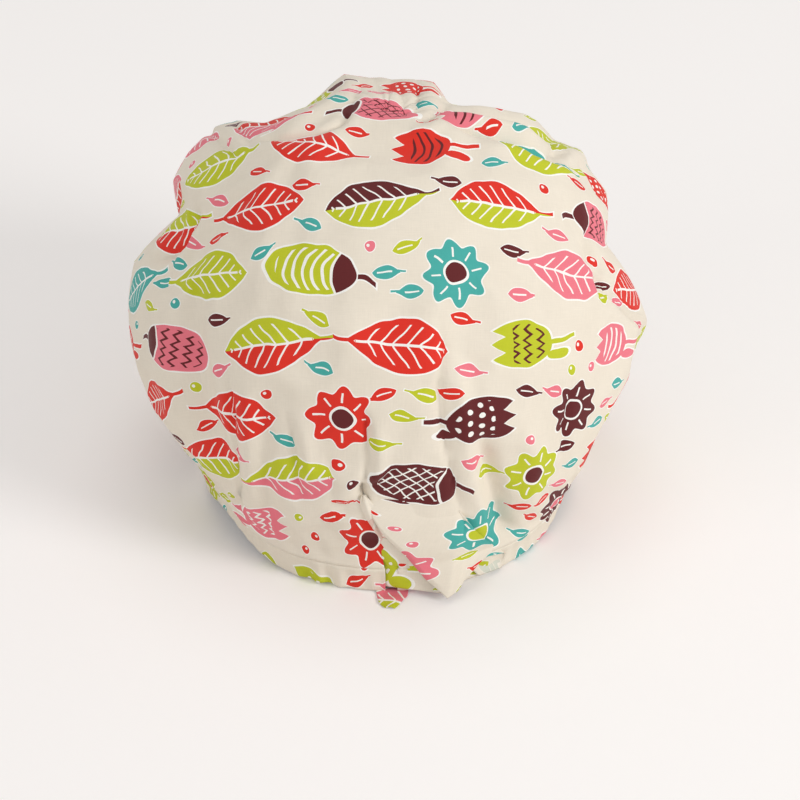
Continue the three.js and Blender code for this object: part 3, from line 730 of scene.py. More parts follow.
def tulip_shape(x, y):
    """A tulip on its side, with a toothed mouth, a stalk and one small leaf."""
    teeth = abs((y / 7.4 + 0.5).fraction() - 0.5) * 13
    cup = oval(x - 5, y, 17, 11.2).at_least(x - 19.5 + teeth)
    stalk = (abs(y - x * x * 0.004) - 1.1).at_least(band_between(x, -27, -8))
    leaf = oval(x + 19 + y * 0.6, y + 5.2 - x * 0.02, 6.5, 2.7)
    return cup.at_most(stalk).at_most(leaf)


def sprig_shape(x, y):
    """Three berries on a sprig."""
    away = abs(y - (x / 9).math("SINE") * 2) - 0.9
    away = away.at_least(band_between(x, -14, 27))
    shine = None
    for across, up, size in ((-14, 3.5, 6.6), (1, -3.5, 7.4), (15.5, 3.0, 5.6)):
        ball = (x - across) * (x - across) + (y - up) * (y - up)
        away = away.at_most(ball.math("SQRT") - size)
        spot = oval(x - across + size * 0.3, y - up - size * 0.32, 1.9, 1.3)
        shine = spot if shine is None else shine.at_most(spot)
    return away, shine


def filling(x, y, chance):
    """Dots, a lattice, curved stripes or zigzags, by a random number."""
    dots_to, lattice_to, stripes_to = 0.28, 0.5, 0.78
    dot_x = x / 5.4
    dot_y = y / 5.0 + dot_x.math("FLOOR") * 0.5
    dot_x, dot_y = dot_x.fraction() - 0.5, dot_y.fraction() - 0.5
    dots = (dot_x * dot_x + dot_y * dot_y).math("SQRT") * 5.2 - 1.3
    lattice = lines_across(x + y * 1.15, 6.6, 1.1).at_most(lines_across(x - y * 1.15, 6.6, 1.1))
    stripes = lines_across(x - y * y * 0.05, 4.8, 1.5)
    zigzag = lines_across(x + abs((y / 4.6).fraction() - 0.5) * 7, 6.6, 1.9)
    picked = dots * chance.below(dots_to)
    picked = picked + lattice * chance.above(dots_to) * chance.below(lattice_to)
    picked = picked + stripes * chance.above(lattice_to) * chance.below(stripes_to)
    return picked + zigzag * chance.above(stripes_to)


def large_motifs_group():
    """Large leaves, flowers, gourds, tulips and berries, one in each cell of the layout."""
    tree, given, out = new_group(
        "large_motifs", [("Place", "Vector")], [("Color", "Color"), ("Away", "Float")]
    )
    x, y, chance, _ = laid_cells(tree, given.outputs[0], LARGE_CELL, 2.0, 0.1, 0.6)
    kind, tone, extra = chance
    radius = (x * x + y * y).math("SQRT")
    is_leaf = kind.below(LEAVES_TO)
    is_gourd = kind.below(GOURDS_TO) - is_leaf
    is_tulip = kind.above(GOURDS_TO) * kind.below(TULIPS_TO)
    is_sprig = kind.above(TULIPS_TO) * kind.below(BERRIES_TO)
    is_flower = kind.above(BERRIES_TO)
    leaf, veins = leaf_shape(x, y)
    flower, petal_lines = flower_shape(radius, y.math("ARCTAN2", x))
    gourd, rim_of_cap = gourd_shape(x, y)
    sprig, shine = sprig_shape(x, y)
    away = leaf * is_leaf + flower * is_flower + gourd * is_gourd
    away = away + tulip_shape(x, y) * is_tulip + sprig * is_sprig
    main = ink(tree, tone, [(0, RED), (0.24, PINK), (0.48, LIME), (0.72, TEAL), (0.86, MAROON)])
    second = ink(tree, extra, [(0, MAROON), (0.45, PINK), (0.6, LIME), (0.78, RED)])
    # second ink: one half of some leaves, the gourd's cap, the flower's eye, some berries
    half = is_leaf * y.below(0) * extra.above(0.45)
    eye = is_flower * radius.below(5)
    berries = is_sprig * abs(x).below(8.5) * extra.below(0.6)
    colour = chosen(tree, half + eye + berries, main, second)
    colour = chosen(tree, is_gourd * rim_of_cap.above(0), colour, MAROON)
    inside = filling(x, y, extra).at_least(away + 1.9)
    in_body = is_gourd * rim_of_cap.below(-1.6) + is_tulip * x.above(-10) * x.below(9)
    fill_mask = in_body * inside.below(0)
    dark_lines = fill_mask * tone.below(0.86) * (extra * 13).fraction().above(0.6)
    colour = chosen(tree, dark_lines, colour, MAROON)
    lines = is_leaf * veins.below(0) + is_flower * petal_lines.below(0)
    lines = lines + is_gourd * (abs(rim_of_cap) - 0.7).below(0)
    lines = lines + is_sprig * shine.below(0) + fill_mask - dark_lines
    feed(tree, out.inputs["Color"], chosen(tree, lines.at_most(1.0), colour, PRINT_WHITE))
    feed(tree, out.inputs["Away"], away)
    return tree


def small_motifs_group():
    """Small leaves and berries in the gaps."""
    tree, given, out = new_group(
        "small_motifs",
        [("Place", "Vector")],
        [("Color", "Color"), ("Away", "Float"), ("Middle", "Vector")],
    )
    x, y, chance, middle = laid_cells(tree, given.outputs[0], SMALL_CELL, 5.0, 0.24, 1.0)
    kind, tone, extra = chance
    reach = x / 6.6
    leaf = (abs(y) - (1 - reach * reach) * (1 - reach * 0.35) * 3.0) * 0.85
    stalk = (abs(y - x * 0.1) - 0.45).at_least(band_between(x, 5, 8.6))
    berry = (x * x + y * y).math("SQRT") - 2.6
    is_leaf = kind.below(SMALL_LEAVES_TO)
    is_berry = 1 - is_leaf
    away = leaf.at_most(stalk) * is_leaf + berry * is_berry
    main = ink(tree, tone, [(0, RED), (0.27, PINK), (0.54, LIME), (0.76, TEAL), (0.92, MAROON)])
    rib = is_leaf * (abs(y) - 0.35).at_least(band_between(x, -4.2, 2.5)).below(0)
    spot = is_berry * oval(x + 0.7, y - 0.7, 0.8, 0.8).below(0)
    feed(tree, out.inputs["Color"], chosen(tree, rib + spot, main, PRINT_WHITE))
    # a few cells stay empty
    feed(tree, out.inputs["Away"], away + extra.below(0.08) * 50)
    feed(tree, out.inputs["Middle"], middle)
    return tree


def printed_cloth_group(large, small):
    """Cream cloth with the print on it, by a place on the flat cloth in millimetres."""
    tree, given, out = new_group(
        "printed_cloth", [("Place", "Vector")], [("Color", "Color"), ("Ink", "Float")]
    )
    place = given.outputs[0]
    wobble = noise_texture(tree, place, 0.13, 0.0).outputs["Color"]
    wobbling = {0: wobble, 1: (2.2, 2.2, 0), 2: place}
    drawn = add_node(tree, "ShaderNodeVectorMath", wobbling, "MULTIPLY_ADD").outputs[0]
    big = add_node(tree, "ShaderNodeGroup", {0: drawn}, group=large)
    little = add_node(tree, "ShaderNodeGroup", {0: drawn}, group=small)
    clear = add_node(tree, "ShaderNodeGroup", {0: little.outputs["Middle"]}, group=large)
    big_away = Field(tree, big.outputs["Away"])
    little_away = Field(tree, little.outputs["Away"])
    room = Field(tree, clear.outputs["Away"]).above(CLEAR_OF_LARGE)
    little_ink = little_away.below(0) * room
    mottle = noise_texture(tree, place, 0.05, 3.0)
    colour = chosen(tree, mottle.outputs[0], CREAM_SHADE, CREAM)
    colour = chosen(tree, little_away.below(SMALL_WHITE_EDGE) * room, colour, PRINT_WHITE)
    colour = chosen(tree, little_ink, colour, little.outputs["Color"])
    colour = chosen(tree, big_away.below(WHITE_EDGE), colour, PRINT_WHITE)
    colour = chosen(tree, big_away.below(0), colour, big.outputs["Color"])
    feed(tree, out.inputs["Color"], colour)
    feed(tree, out.inputs["Ink"], (little_ink + big_away.below(0)).at_most(1.0))
    return tree


def weave_group():
    """Threads of a plain weave as heights from 0 to 1, by a place in millimetres."""
    tree, given, out = new_group(
        "plain_weave",
        [("Place", "Vector"), ("Thread Pitch", "Float")],
        [("Height", "Float"), ("Slub", "Float")],
    )
    u, v, _ = split(tree, given.outputs[0])
    pitch = Field(tree, given.outputs[1])
    warp = (u / pitch * math.tau).math("SINE")
    weft = (v / pitch * math.tau).math("SINE")
    threads = warp * weft * 0.25 + (warp * warp + weft * weft) * 0.2 + 0.3
    slubs = [
        Field(tree, noise_texture(tree, joined(tree, u * by_u, v * by_v), 1.0, 2.0).outputs[0])
        for by_u, by_v in ((0.12, 2.2), (2.2, 0.12))
    ]
    both = slubs[0] + slubs[1]
    feed(tree, out.inputs["Height"], threads + (both - 1) * 0.6)
    feed(tree, out.inputs["Slub"], both * 0.5)
    return tree


def cloth_place(tree):
    """The piece's own flat place, from metres to millimetres."""
    source = tree.nodes.new("ShaderNodeUVMap")
    source.uv_map = "cloth"
    inputs = {0: source.outputs[0], "Scale": 1 / MM}
    return add_node(tree, "ShaderNodeVectorMath", inputs, "SCALE").outputs[0]


def own_place(tree):
    return tree.nodes.new("ShaderNodeTexCoord").outputs["Object"]


def object_noise(tree, scale):
    """Noise over the piece's own coordinates."""
    return noise_texture(tree, own_place(tree), scale, 3.0).outputs[0]


def new_material(name, roughness, sheen=0.0):
    material = bpy.data.materials.new(name)
    material.use_nodes = True
    shader = material.node_tree.nodes["Principled BSDF"]
    shader.inputs["Roughness"].default_value = roughness
    shader.inputs["Sheen Weight"].default_value = sheen
    shader.inputs["Specular IOR Level"].default_value = 0.25
    return material, material.node_tree, shader


def add_bump(tree, shader, height, distance, strength, under=None):
    inputs = {"Distance": distance, "Strength": strength, "Height": height, "Normal": under}
    bump = add_node(tree, "ShaderNodeBump", inputs).outputs[0]
    feed(tree, shader.inputs["Normal"], bump)
    return bump


def woven(tree, shader, weave, place, pitch, depth):
    """Soft wrinkles and the weave over them, as bumps. Gives back the unevenness of the yarns."""
    inputs = {"Place": place, "Thread Pitch": pitch}
    yarns = add_node(tree, "ShaderNodeGroup", inputs, group=weave)
    soft = add_bump(tree, shader, object_noise(tree, 160.0), 0.0008, 0.35)
    add_bump(tree, shader, yarns.outputs["Height"], depth, 0.5, soft)
    return yarns.outputs["Slub"]


def worn_tone(tree, shader, colour, slub, low, high):
    """Colours the material, a little lighter and darker by the yarns."""
    inputs = {"Value": slub, "From Min": 0.3, "From Max": 0.7, "To Min": low, "To Max": high}
    scale = add_node(tree, "ShaderNodeMapRange", inputs).outputs[0]
    colour = colour[:3] if isinstance(colour, tuple) else colour
    tone = add_node(tree, "ShaderNodeVectorMath", {0: colour, "Scale": scale}, "SCALE")
    feed(tree, shader.inputs["Base Color"], tone.outputs[0])


def printed_cotton(weave, printed):
    """The right side of the printed cloth, smoother where it is inked."""
    material, tree, shader = new_material("printed_cotton", 0.82, 0.08)
    place = cloth_place(tree)
    cloth = add_node(tree, "ShaderNodeGroup", {"Place": place}, group=printed)
    slub = woven(tree, shader, weave, place, THREAD_PITCH, 0.00006)
    worn_tone(tree, shader, cloth.outputs["Color"], slub, 0.955, 1.03)
    feed(tree, shader.inputs["Roughness"], Field(tree, cloth.outputs["Ink"]) * -0.1 + 0.86)
    return material


def printed_reverse(weave, printed):
    """The wrong side of the printed cloth: the inks show through it, pale."""
    material, tree, shader = new_material("printed_cotton_reverse", 0.88, 0.08)
    place = cloth_place(tree)
    cloth = add_node(tree, "ShaderNodeGroup", {"Place": place}, group=printed)
    slub = woven(tree, shader, weave, place, THREAD_PITCH, 0.00006)
    worn_tone(tree, shader, chosen(tree, 0.22, CREAM, cloth.outputs["Color"]), slub, 0.94, 1.02)
    return material


def plain_cotton(weave, name, colour, pitch):
    material, tree, shader = new_material(name, 0.88, 0.06)
    slub = woven(tree, shader, weave, cloth_place(tree), pitch, 0.00008)
    worn_tone(tree, shader, colour, slub, 0.93, 1.03)
    return material


def stiffener():
    """Non-woven felted fibres, pressed in a fine dot pattern."""
    material, tree, shader = new_material("interfacing", 0.95)
    cells = add_node(tree, "ShaderNodeTexVoronoi", {"Vector": cloth_place(tree), "Scale": 0.7})
    cells.voronoi_dimensions = "2D"
    add_bump(tree, shader, cells.outputs["Distance"], 0.0002, 0.5)
    worn_tone(tree, shader, srgb(242, 241, 238), object_noise(tree, 90.0), 0.93, 1.02)
    return material


def terry():
    """Looped cotton towelling."""
    material, tree, shader = new_material("terry", 0.95, 0.25)
    loops = add_node(tree, "ShaderNodeTexVoronoi", {"Vector": own_place(tree), "Scale": 700.0})
    soft = add_bump(tree, shader, object_noise(tree, 220.0), 0.0012, 0.5)
    add_bump(tree, shader, loops.outputs["Distance"], 0.0009, 0.8, soft)
    worn_tone(tree, shader, srgb(243, 240, 232), object_noise(tree, 260.0), 0.86, 1.03)
    return material


def braided_elastic():
    """Flat elastic: ribs along it, and slanting yarns between them."""
    material, tree, shader = new_material("elastic", 0.7)
    u, v, _ = split(tree, cloth_place(tree))
    ribs = abs((v / 1.3 * math.tau).math("SINE"))
    yarns = ((u * 1.1 + v * 1.1) * math.tau).math("SINE") * 0.3
    add_bump(tree, shader, ribs + yarns, 0.0002, 0.7)
    worn_tone(tree, shader, srgb(246, 245, 240), object_noise(tree, 300.0), 0.9, 1.02)
    return material


def sewing_thread():
    """Two-ply thread, a little shinier than the cloth."""
    material, tree, shader = new_material("sewing_thread", 0.6, 0.1)
    plies = add_node(tree, "ShaderNodeTexWave", {"Vector": own_place(tree), "Scale": 900.0})
    plies.bands_direction = "DIAGONAL"
    add_bump(tree, shader, plies.outputs["Fac"], 0.0001, 0.6)
    worn_tone(tree, shader, srgb(240, 234, 220), object_noise(tree, 400.0), 0.93, 1.03)
    return material


# ---- Pieces


def add_object(name, data):
    made = bpy.data.objects.new(name, data)
    bpy.context.scene.collection.objects.link(made)
    return made


def shade_smooth(mesh):
    mesh.polygons.foreach_set("use_smooth", [True] * len(mesh.polygons))


def grid_faces(rows, columns, start):
    corners = [start + row * columns + k for row in range(rows - 1) for k in range(columns - 1)]
    return [(c, c + 1, c + columns + 1, c + columns) for c in corners]


def make_piece(name, parts, materials, thickness=CLOTH_THICKNESS, merge=0.02, offset=-1.0):
    """A smooth mesh from grids of (points in mm, flat places in mm), joined where they meet. The
    cloth's thickness lies inside the grid, or on both sides of it where offset is 0."""
    points, flats, faces = [], [], []
    for grid, flat in parts:
        faces += grid_faces(*grid.shape[:2], sum(len(p) for p in points))
        points.append(grid.reshape(-1, 3))
        flats.append(flat.reshape(-1, 2))
    points, flats = placed(np.concatenate(points)), np.concatenate(flats) * MM
    mesh = bpy.data.meshes.new(name)
    mesh.from_pydata(points.tolist(), [], faces)
    layer = mesh.uv_layers.new(name="cloth")
    corners = np.array([loop.vertex_index for loop in mesh.loops])
    layer.data.foreach_set("uv", flats[corners].ravel())
    body = bmesh.new()
    body.from_mesh(mesh)
    bmesh.ops.remove_doubles(body, verts=body.verts, dist=merge * MM)
    body.to_mesh(mesh)
    body.free()
    shade_smooth(mesh)
    for material in materials:
        mesh.materials.append(material)
    piece = add_object(name, mesh)
    if thickness:
        wall = piece.modifiers.new("cloth_thickness", "SOLIDIFY")
        wall.thickness = thickness * MM
        wall.offset = offset
        wall.use_even_offset = False
        if len(materials) > 1:
            wall.material_offset = 1
            wall.material_offset_rim = 0
    return piece


# The slit at the nape: height, and the places across of its left and its right edge.
SLIT = [
    (0, 1.4, -4.0), (14, 1.6, -4.5), (23, 3.2, -5.0), (27, 2.6, -5.2), (31, -1.5, -5.2),
    (45, 5.0, 1.0), (57, 11.5, 11.5),
]
SLIT_TOP = 56.9
# Above the slit the bag's two side edges meet here.
CLOSED_AZIMUTH = 0.1
# The hems start beside the slit as it is at this height, and stop just before the band.
HEM_START_HEIGHT = 4.0
HEM_END_GAP = 0.006
# The elastics end this far inside the hems.
ELASTIC_END_GAP = 0.01


def slit_edges(height):
    """Places across of the left and the right edge of the slit."""
    heights, left, right = zip(*SLIT)
    return np.interp(height, heights, left), np.interp(height, heights, right)


def bag_ends(height):
    """Azimuths between which the bag runs round the cap at a height."""
    if height > SLIT_TOP:
        return CLOSED_AZIMUTH, 2 * math.pi + CLOSED_AZIMUTH
    half_width, _, _ = back_section(height)
    left, right = (float(np.arcsin(edge / half_width)) for edge in slit_edges(height))
    return left, 2 * math.pi + right


def hem_start(sign):
    left, right = slit_edges(HEM_START_HEIGHT)
    return math.asin((left if sign > 0 else right) / RIM_HALF_WIDTH)


# The bag's cloth settles in a simulation on a larger body, because the solver holds fine cloth
# better there.
SETTLE_DETAIL = 6
SETTLE_SCALE = 8.0
SETTLE_FRAMES = 20
SETTLE_GROWTH = 1.3
SETTLE_HOLD = 0.12
SETTLE_SLACK = 0.022
SETTLE_SLACK_OF_FOLDS = 0.07


def set_weights(piece, name, weights):
    group = piece.vertex_groups.new(name=name)
    for place, weight in enumerate(weights):
        group.add([place], float(weight), "REPLACE")
    return name


def settled_cloth():
    """Lets the bag's cloth settle: directions to its points, its triangles and its moves in mm."""
    body = bmesh.new()
    bmesh.ops.create_icosphere(body, subdivisions=SETTLE_DETAIL, radius=1.0)
    below = [vert for vert in body.verts if vert.co.z < math.sin(PUFF_START) + 0.009]
    bmesh.ops.delete(body, geom=below, context="VERTS")
    mesh = bpy.data.meshes.new("settling_cloth")
    body.to_mesh(mesh)
    body.free()
    directions = np.array([vert.co[:] for vert in mesh.vertices])
    triangles = [tuple(face.vertices) for face in mesh.polygons]
    azimuth = np.mod(np.arctan2(directions[:, 0], directions[:, 1]), 2 * math.pi)
    climb = np.arcsin(np.clip(directions[:, 2], math.sin(PUFF_START), 1))
    smooth = puff_point(azimuth, climb)
    normal = puff_normal(smooth)
    before = smooth + normal * fold_height(smooth, azimuth, climb, crisp=False)[:, None]
    mesh.vertices.foreach_set("co", (before * SETTLE_SCALE * MM).ravel())
    piece = add_object("settling_cloth", mesh)

    at_seam = 1 - smoothstep(above_seam(smooth, azimuth), 4, 26)
    turn, fan = round_the_back(smooth)
    upper = smoothstep(fan, -12, 10) * (1 - smoothstep(fan, 172, 192))
    folds = np.maximum(smoothstep(turn, 62, 88) * upper, smoothstep(turn, 95, 110))

    cloth = piece.modifiers.new("cloth", "CLOTH")
    setting = cloth.settings
    setting.vertex_group_mass = set_weights(piece, "hold", np.maximum(at_seam, SETTLE_HOLD))
    setting.vertex_group_shrink = set_weights(piece, "slack", folds)
    setting.pin_stiffness = 1.0
    setting.shrink_min, setting.shrink_max = -SETTLE_SLACK, -SETTLE_SLACK_OF_FOLDS
    setting.bending_stiffness, setting.bending_damping = 1.0, 0.5
    setting.tension_stiffness, setting.tension_damping = 15.0, 5.0
    setting.compression_stiffness, setting.compression_damping = 15.0, 5.0
    setting.shear_stiffness, setting.shear_damping = 5.0, 5.0
    setting.quality, setting.mass, setting.air_damping = 5, 0.3, 1.0
    setting.effector_weights.gravity = 0.0
    cloth.collision_settings.use_collision = False
    cloth.point_cache.frame_end = SETTLE_FRAMES
    for step in range(1, SETTLE_FRAMES + 1):
        bpy.context.scene.frame_set(step)
    settled = piece.evaluated_get(bpy.context.evaluated_depsgraph_get()).to_mesh()
    after = np.zeros(len(settled.vertices) * 3)
    settled.vertices.foreach_get("co", after)
    bpy.context.scene.frame_set(1)
    bpy.data.objects.remove(piece)
    moves = after.reshape(-1, 3) / (SETTLE_SCALE * MM) - before
    moves -= normal * (SETTLE_GROWTH * (1 - at_seam))[:, None]
    return directions, triangles, moves


def settling(azimuth, climb):
    """How far the settled cloth moves at places of the bag, in millimetres."""
    directions, triangles, moves = settled_cloth()
    tree = BVHTree.FromPolygons(directions.tolist(), triangles)
    level = np.cos(climb)
    wanted = np.stack([level * np.sin(azimuth), level * np.cos(azimuth), np.sin(climb)], -1)
    found = np.zeros(wanted.shape).reshape(-1, 3)
    for place, direction in enumerate(wanted.reshape(-1, 3)):
        spot, _, index, _ = tree.find_nearest(Vector(direction))
        corners = triangles[index]
        shares = poly_3d_calc([Vector(directions[corner]) for corner in corners], spot)
        found[place] = sum(share * moves[corner] for share, corner in zip(shares, corners))
    return found.reshape(wanted.shape)


BAG_COLUMNS = 400
LOWER_ROWS = 36
UPPER_ROWS = 80
# The foot of the bag's outer face is brought out to the hem's and the band's.
FOOT_OUT = -BAG_FACE - 0.25


def bag_grid():
    """Grid of the crown bag: from behind the hem and band, over the puff, to the top."""
    lower = PUFF_START * (1 - np.linspace(0, 1, LOWER_ROWS + 1)[:-1] ** 0.9)
    climbs = np.concatenate([lower, np.linspace(0, math.pi / 2, UPPER_ROWS)])
    drops = np.maximum(np.sin(climbs) / math.sin(PUFF_START), 0)
    heights = PUFF_MIDDLE - (PUFF_MIDDLE - HEM_HEIGHT - BAG_FOOT) * drops
    azimuths = np.array([np.linspace(*bag_ends(height), BAG_COLUMNS) for height in heights])
    climbs = np.broadcast_to(climbs[:, None], azimuths.shape)
    smooth = puff_point(azimuths, climbs)
    height = fold_height(smooth, azimuths, climbs)
    grid = smooth + puff_normal(smooth) * height[..., None]
    rise = above_seam(smooth, azimuths)
    out = FOOT_OUT * (1 - smoothstep(rise, 0, 8)) + seam_flare(azimuths, rise)
    grid[..., 0] += out * np.sin(azimuths)
    grid[..., 1] += out * np.cos(azimuths)
    grid += settling(azimuths, climbs)
    tucked = [seam_point(azimuths[0], -drop, BAG_FACE) for drop in (SEAM_LAP, SEAM_LAP / 2)]
    return np.concatenate([tucked, grid]), np.concatenate([tucked, smooth])


def crown_bag(sides):
    grid, smooth = bag_grid()
    flat = hidden_print(smooth, flat_place(smooth))
    return make_piece("crown_bag_cloth", [(grid[::-1], flat[::-1])], sides)


def wall_strip(azimuths, sections):
    """A grid along the rim wall, from a section of (outside, height) at each azimuth."""
    outside, height = np.moveaxis(np.array(sections, float), -1, 0)
    return rim_point(azimuths[:, None], height, outside)


def strip_flat(grid):
    """Flat place of a strip: length along it, and distance across it."""
    steps = np.linalg.norm(np.diff(grid, axis=0), axis=-1).mean(axis=1)
    across = np.linalg.norm(np.diff(grid, axis=1), axis=-1)
    length = np.concatenate([[0], np.cumsum(steps)])
    width = np.concatenate([np.zeros((len(grid), 1)), np.cumsum(across, axis=1)], axis=1)
    return np.stack([np.broadcast_to(length[:, None], width.shape), width], -1)


def bend(steps, radius, middle):
    """Points round the lower fold of a turned edge, as (outside, height)."""
    angles = np.linspace(math.pi, 2 * math.pi, steps)
    return [(middle[0] + radius * math.cos(a), middle[1] + radius * math.sin(a)) for a in angles]


def wavy_rows(face, low, high, wave):
    """Seven rows up a layer, waved most at half its height, as (outside, height)."""
    shares = np.linspace(0, 1, 7)
    return list(zip(face + wave * swell(shares), low + (high - low) * shares))


# The scallops of the hem left of the slit: place and spread in degrees, how many there would be
# all round, and how far they stand out and rise.
SCALLOP_PLACE = (20, 9)
SCALLOPS = 52
SCALLOP_OUT, SCALLOP_RISE = 1.5, 0.5
# The hem's lower edge, the radius of its fold, and how far it waves over its elastic.
HEM_FOOT, HEM_FOLD_RADIUS, HEM_WAVE = 0.2, 1.6, 0.35


def hem_section(azimuth):
    """The folded hem: up the inside, round the lower fold and up the outside to the seam."""
    turn = abs(azimuth)
    scallop = bell(math.degrees(turn), *SCALLOP_PLACE) if azimuth > 0 else 0.0
    wave = scallop * SCALLOP_OUT * math.cos(turn * SCALLOPS)
    ripple = HEM_WAVE * elastic_ripple(azimuth)
    foot = HEM_FOOT + scallop * SCALLOP_RISE * (1 + math.cos(turn * SCALLOPS + 1))
    top, radius = HEM_HEIGHT, HEM_FOLD_RADIUS
    inner = [(-3.4, top - 0.5), (-3.5, (top + foot) / 2), (-3.3 + wave * 0.4, foot + radius + 1)]
    fold = bend(7, radius, (-1.7 + wave * 0.8 + ripple * 0.5, foot + radius))
    outer = [
        (wave + ripple, foot + radius + 1.5),
        (0.1 + wave * 0.8 + ripple, foot + 5),
        (wave * 0.5 + ripple, (foot + top) / 2 + 2),
        (wave * 0.3 + ripple * 0.7, top - 2.4),
        (-0.1 + wave * 0.1 + ripple * 0.3, top - 0.9),
        (-0.5, top + 0.3),
    ]
    flared = [(out + float(seam_flare(azimuth, height - top)), height) for out, height in outer]
    return inner + fold + flared


def hem(side, sign, sides):
    ends = sorted((hem_start(sign), sign * (BAND_START - HEM_END_GAP)))
    azimuths = np.linspace(*ends, 190)
    grid = wall_strip(azimuths, [hem_section(azimuth) for azimuth in azimuths])
    flat = flat_place(grid)
    # the print of the three rows inside runs on from the lower fold
    depth = strip_flat(grid)[..., 1]
    hanging = depth[:, :3] - depth[:, 3:4]
    flat[:, :3] = flat[:, 3:4] + np.stack([np.zeros_like(hanging), hanging], -1)
    return make_piece(f"{side}_hem_cloth", [(grid, flat)], sides)


# The fold at the band's lower edge, and how much the layers inside it wave.
BAND_FOLD_RADIUS = 1.3
LAYER_WAVE = 0.12


def band_outer(sides):
    azimuths = np.linspace(*BAND_ENDS, 240)
    radius = BAND_FOLD_RADIUS
    sections = []
    for azimuth, top in zip(azimuths, seam_height(azimuths)):
        wave = 0.25 * math.sin(azimuth * 23) + 0.2 * math.sin(azimuth * 41 + 1)
        inner = [(-2.9, 3.0)] + bend(6, radius, (-1.5, radius + 0.05))
        outer = wavy_rows(-0.15, radius + 2, top - 1.5, wave)
        sections.append(inner + outer + [(-0.35, top - 0.3), (-0.9, top + 0.1)])
    grid = wall_strip(azimuths, sections)
    parts = [(grid, strip_flat(grid) + BAND_PRINT_MOVE)]
    return make_piece("front_band_outer_cloth", parts, sides, BAND_THICKNESS)


def upright_strip(name, azimuths, face, bottom, top, material, thickness, shift=0.0):
    """An upright layer of the band or hem, or a tie inside the hem, between two heights or rows
    of heights."""
    waves = LAYER_WAVE * np.sin(azimuths * 29 + shift)
    rows = zip(*np.broadcast_arrays(bottom, top, waves))
    grid = wall_strip(azimuths, [wavy_rows(face, *row) for row in rows])
    return make_piece(name, [(grid, strip_flat(grid) + shift)], [material], thickness)


# The pad reaches so far to each side of the forehead, and between these heights. Its upper and
# lower edges and its ends are rounded.
PAD_REACH = math.radians(55)
PAD_LOW, PAD_HIGH = 8.0, 44.0
PAD_EDGE, PAD_END = 1.8, 3.0


def sweatband(material):
    """Terry pad with rounded edges, sewn inside the forehead."""
    azimuths = np.linspace(math.pi - PAD_REACH, math.pi + PAD_REACH, 150)
    low, high, edge = PAD_LOW, PAD_HIGH, PAD_EDGE
    middle = PAD_FACE - PAD_THICKNESS / 2
    heights = np.linspace(low, high, 12)
    turns = np.linspace(0.5, 2.6, 5)
    sections = []
    for azimuth in azimuths:
        from_end = min(azimuth - azimuths[0], azimuths[-1] - azimuth) * RIM_HALF_LENGTH
        near = min(from_end / PAD_END, 1.0)
        full = math.sqrt(near * (2 - near))
        half = max(PAD_THICKNESS / 2 * full, 0.05)
        inside = middle - half - 0.25 * full * swell(np.linspace(0, 1, 12))
        ring = [(middle + half, height) for height in heights]
        ring += [(middle + half * math.cos(a), high + edge * math.sin(a)) for a in turns]
        ring += list(zip(inside, heights[::-1]))
        ring += [(middle - half * math.cos(a), low - edge * math.sin(a)) for a in turns]
        sections.append(ring + [ring[0]])
    grid = wall_strip(azimuths, sections)
    return make_piece("sweatband_pad", [(grid, strip_flat(grid))], [material], 0)


# ---- The knot and the tie ends, as (place across, place down, lift from the back wall in mm)

# Where the wide end's outline turns its point, and from where its top edge is folded back.
WIDE_POINT = 0.62
WIDE_FOLD_FROM = 0.6
WIDE_TOP = [
    (365, 500, -2.2), (380, 499, -2.4), (398, 500, -2.4), (430, 503, -2.2), (456, 508, -1.6),
    (466, 519, 1.0), (476, 532, 3.2), (488, 542, 4.6), (505, 554, 5.0),
]
WIDE_LEFT = [
    (365, 503, 0.4), (373.5, 520, 3.2), (381, 532, 4.2), (389, 541, 4.8), (406.5, 557, 6.4),
    (424, 578, 10.5), (436, 588.6, 13.5), (447, 598.5, 17.2),
]
WIDE_RIGHT = [
    (447, 598.5, 17.2), (457.5, 590.5, 14.0), (463, 581.6, 10.5), (473, 570, 7.8),
    (483, 558.6, 6.2), (488, 556, 5.8), (505, 553, 5.0),
]
WIDE_BEHIND = [
    (452, 548, 3.4), (466, 564, 4.4), (478, 576, 5.0), (501, 567.6, 4.4), (505, 553.5, 4.8),
]
WIDE_PLEAT = [(461, 506), (463, 516), (464, 528), (462, 544)]
WIDE_PLEAT_DEPTH, WIDE_PLEAT_HALF = 2.0, 3.0
# How far the wide end bulges, its soft folds rise, its edge is turned under, and the layer
# behind lies under the top one and sags from it.
WIDE_BULGE, WIDE_FOLDS, WIDE_TURNED = 1.6, 0.7, 1.3
WIDE_UNDER, WIDE_SAG = 1.6, 2.6
FOLD_TOP = [(376, 536, -2.4), (386, 538, 0.4), (396, 545, 1.6), (410, 552, 2.6), (424, 560, 3.2)]
FOLD_FOOT = [(374, 585.5, -2.6), (386, 586.0, 0.6), (408, 589.0, 4.2), (441, 593.0, 9.2)]
# The short end lies on the table: millimetres across and backwards.
SHORT_LEFT = [(6.6, 87.0), (5.0, 99.0), (4.2, 103.0), (1.4, 106.3)]
SHORT_RIGHT = [(-10.0, 87.0), (-8.7, 97.0), (-5.6, 102.5), (-2.8, 106.7)]
# The knot's path also has its reach to the left and to the right.
KNOT_PATH = [
    (363, 495, -2.6, 2.0, 2.5), (364, 501, 0.2, 3.5, 4.5), (367, 508, 1.4, 5.0, 7.0),
    (371, 515, 1.8, 5.5, 9.0), (377, 526, 0.8, 5.0, 10.0), (386, 539, -0.6, 4.0, 9.0),
]
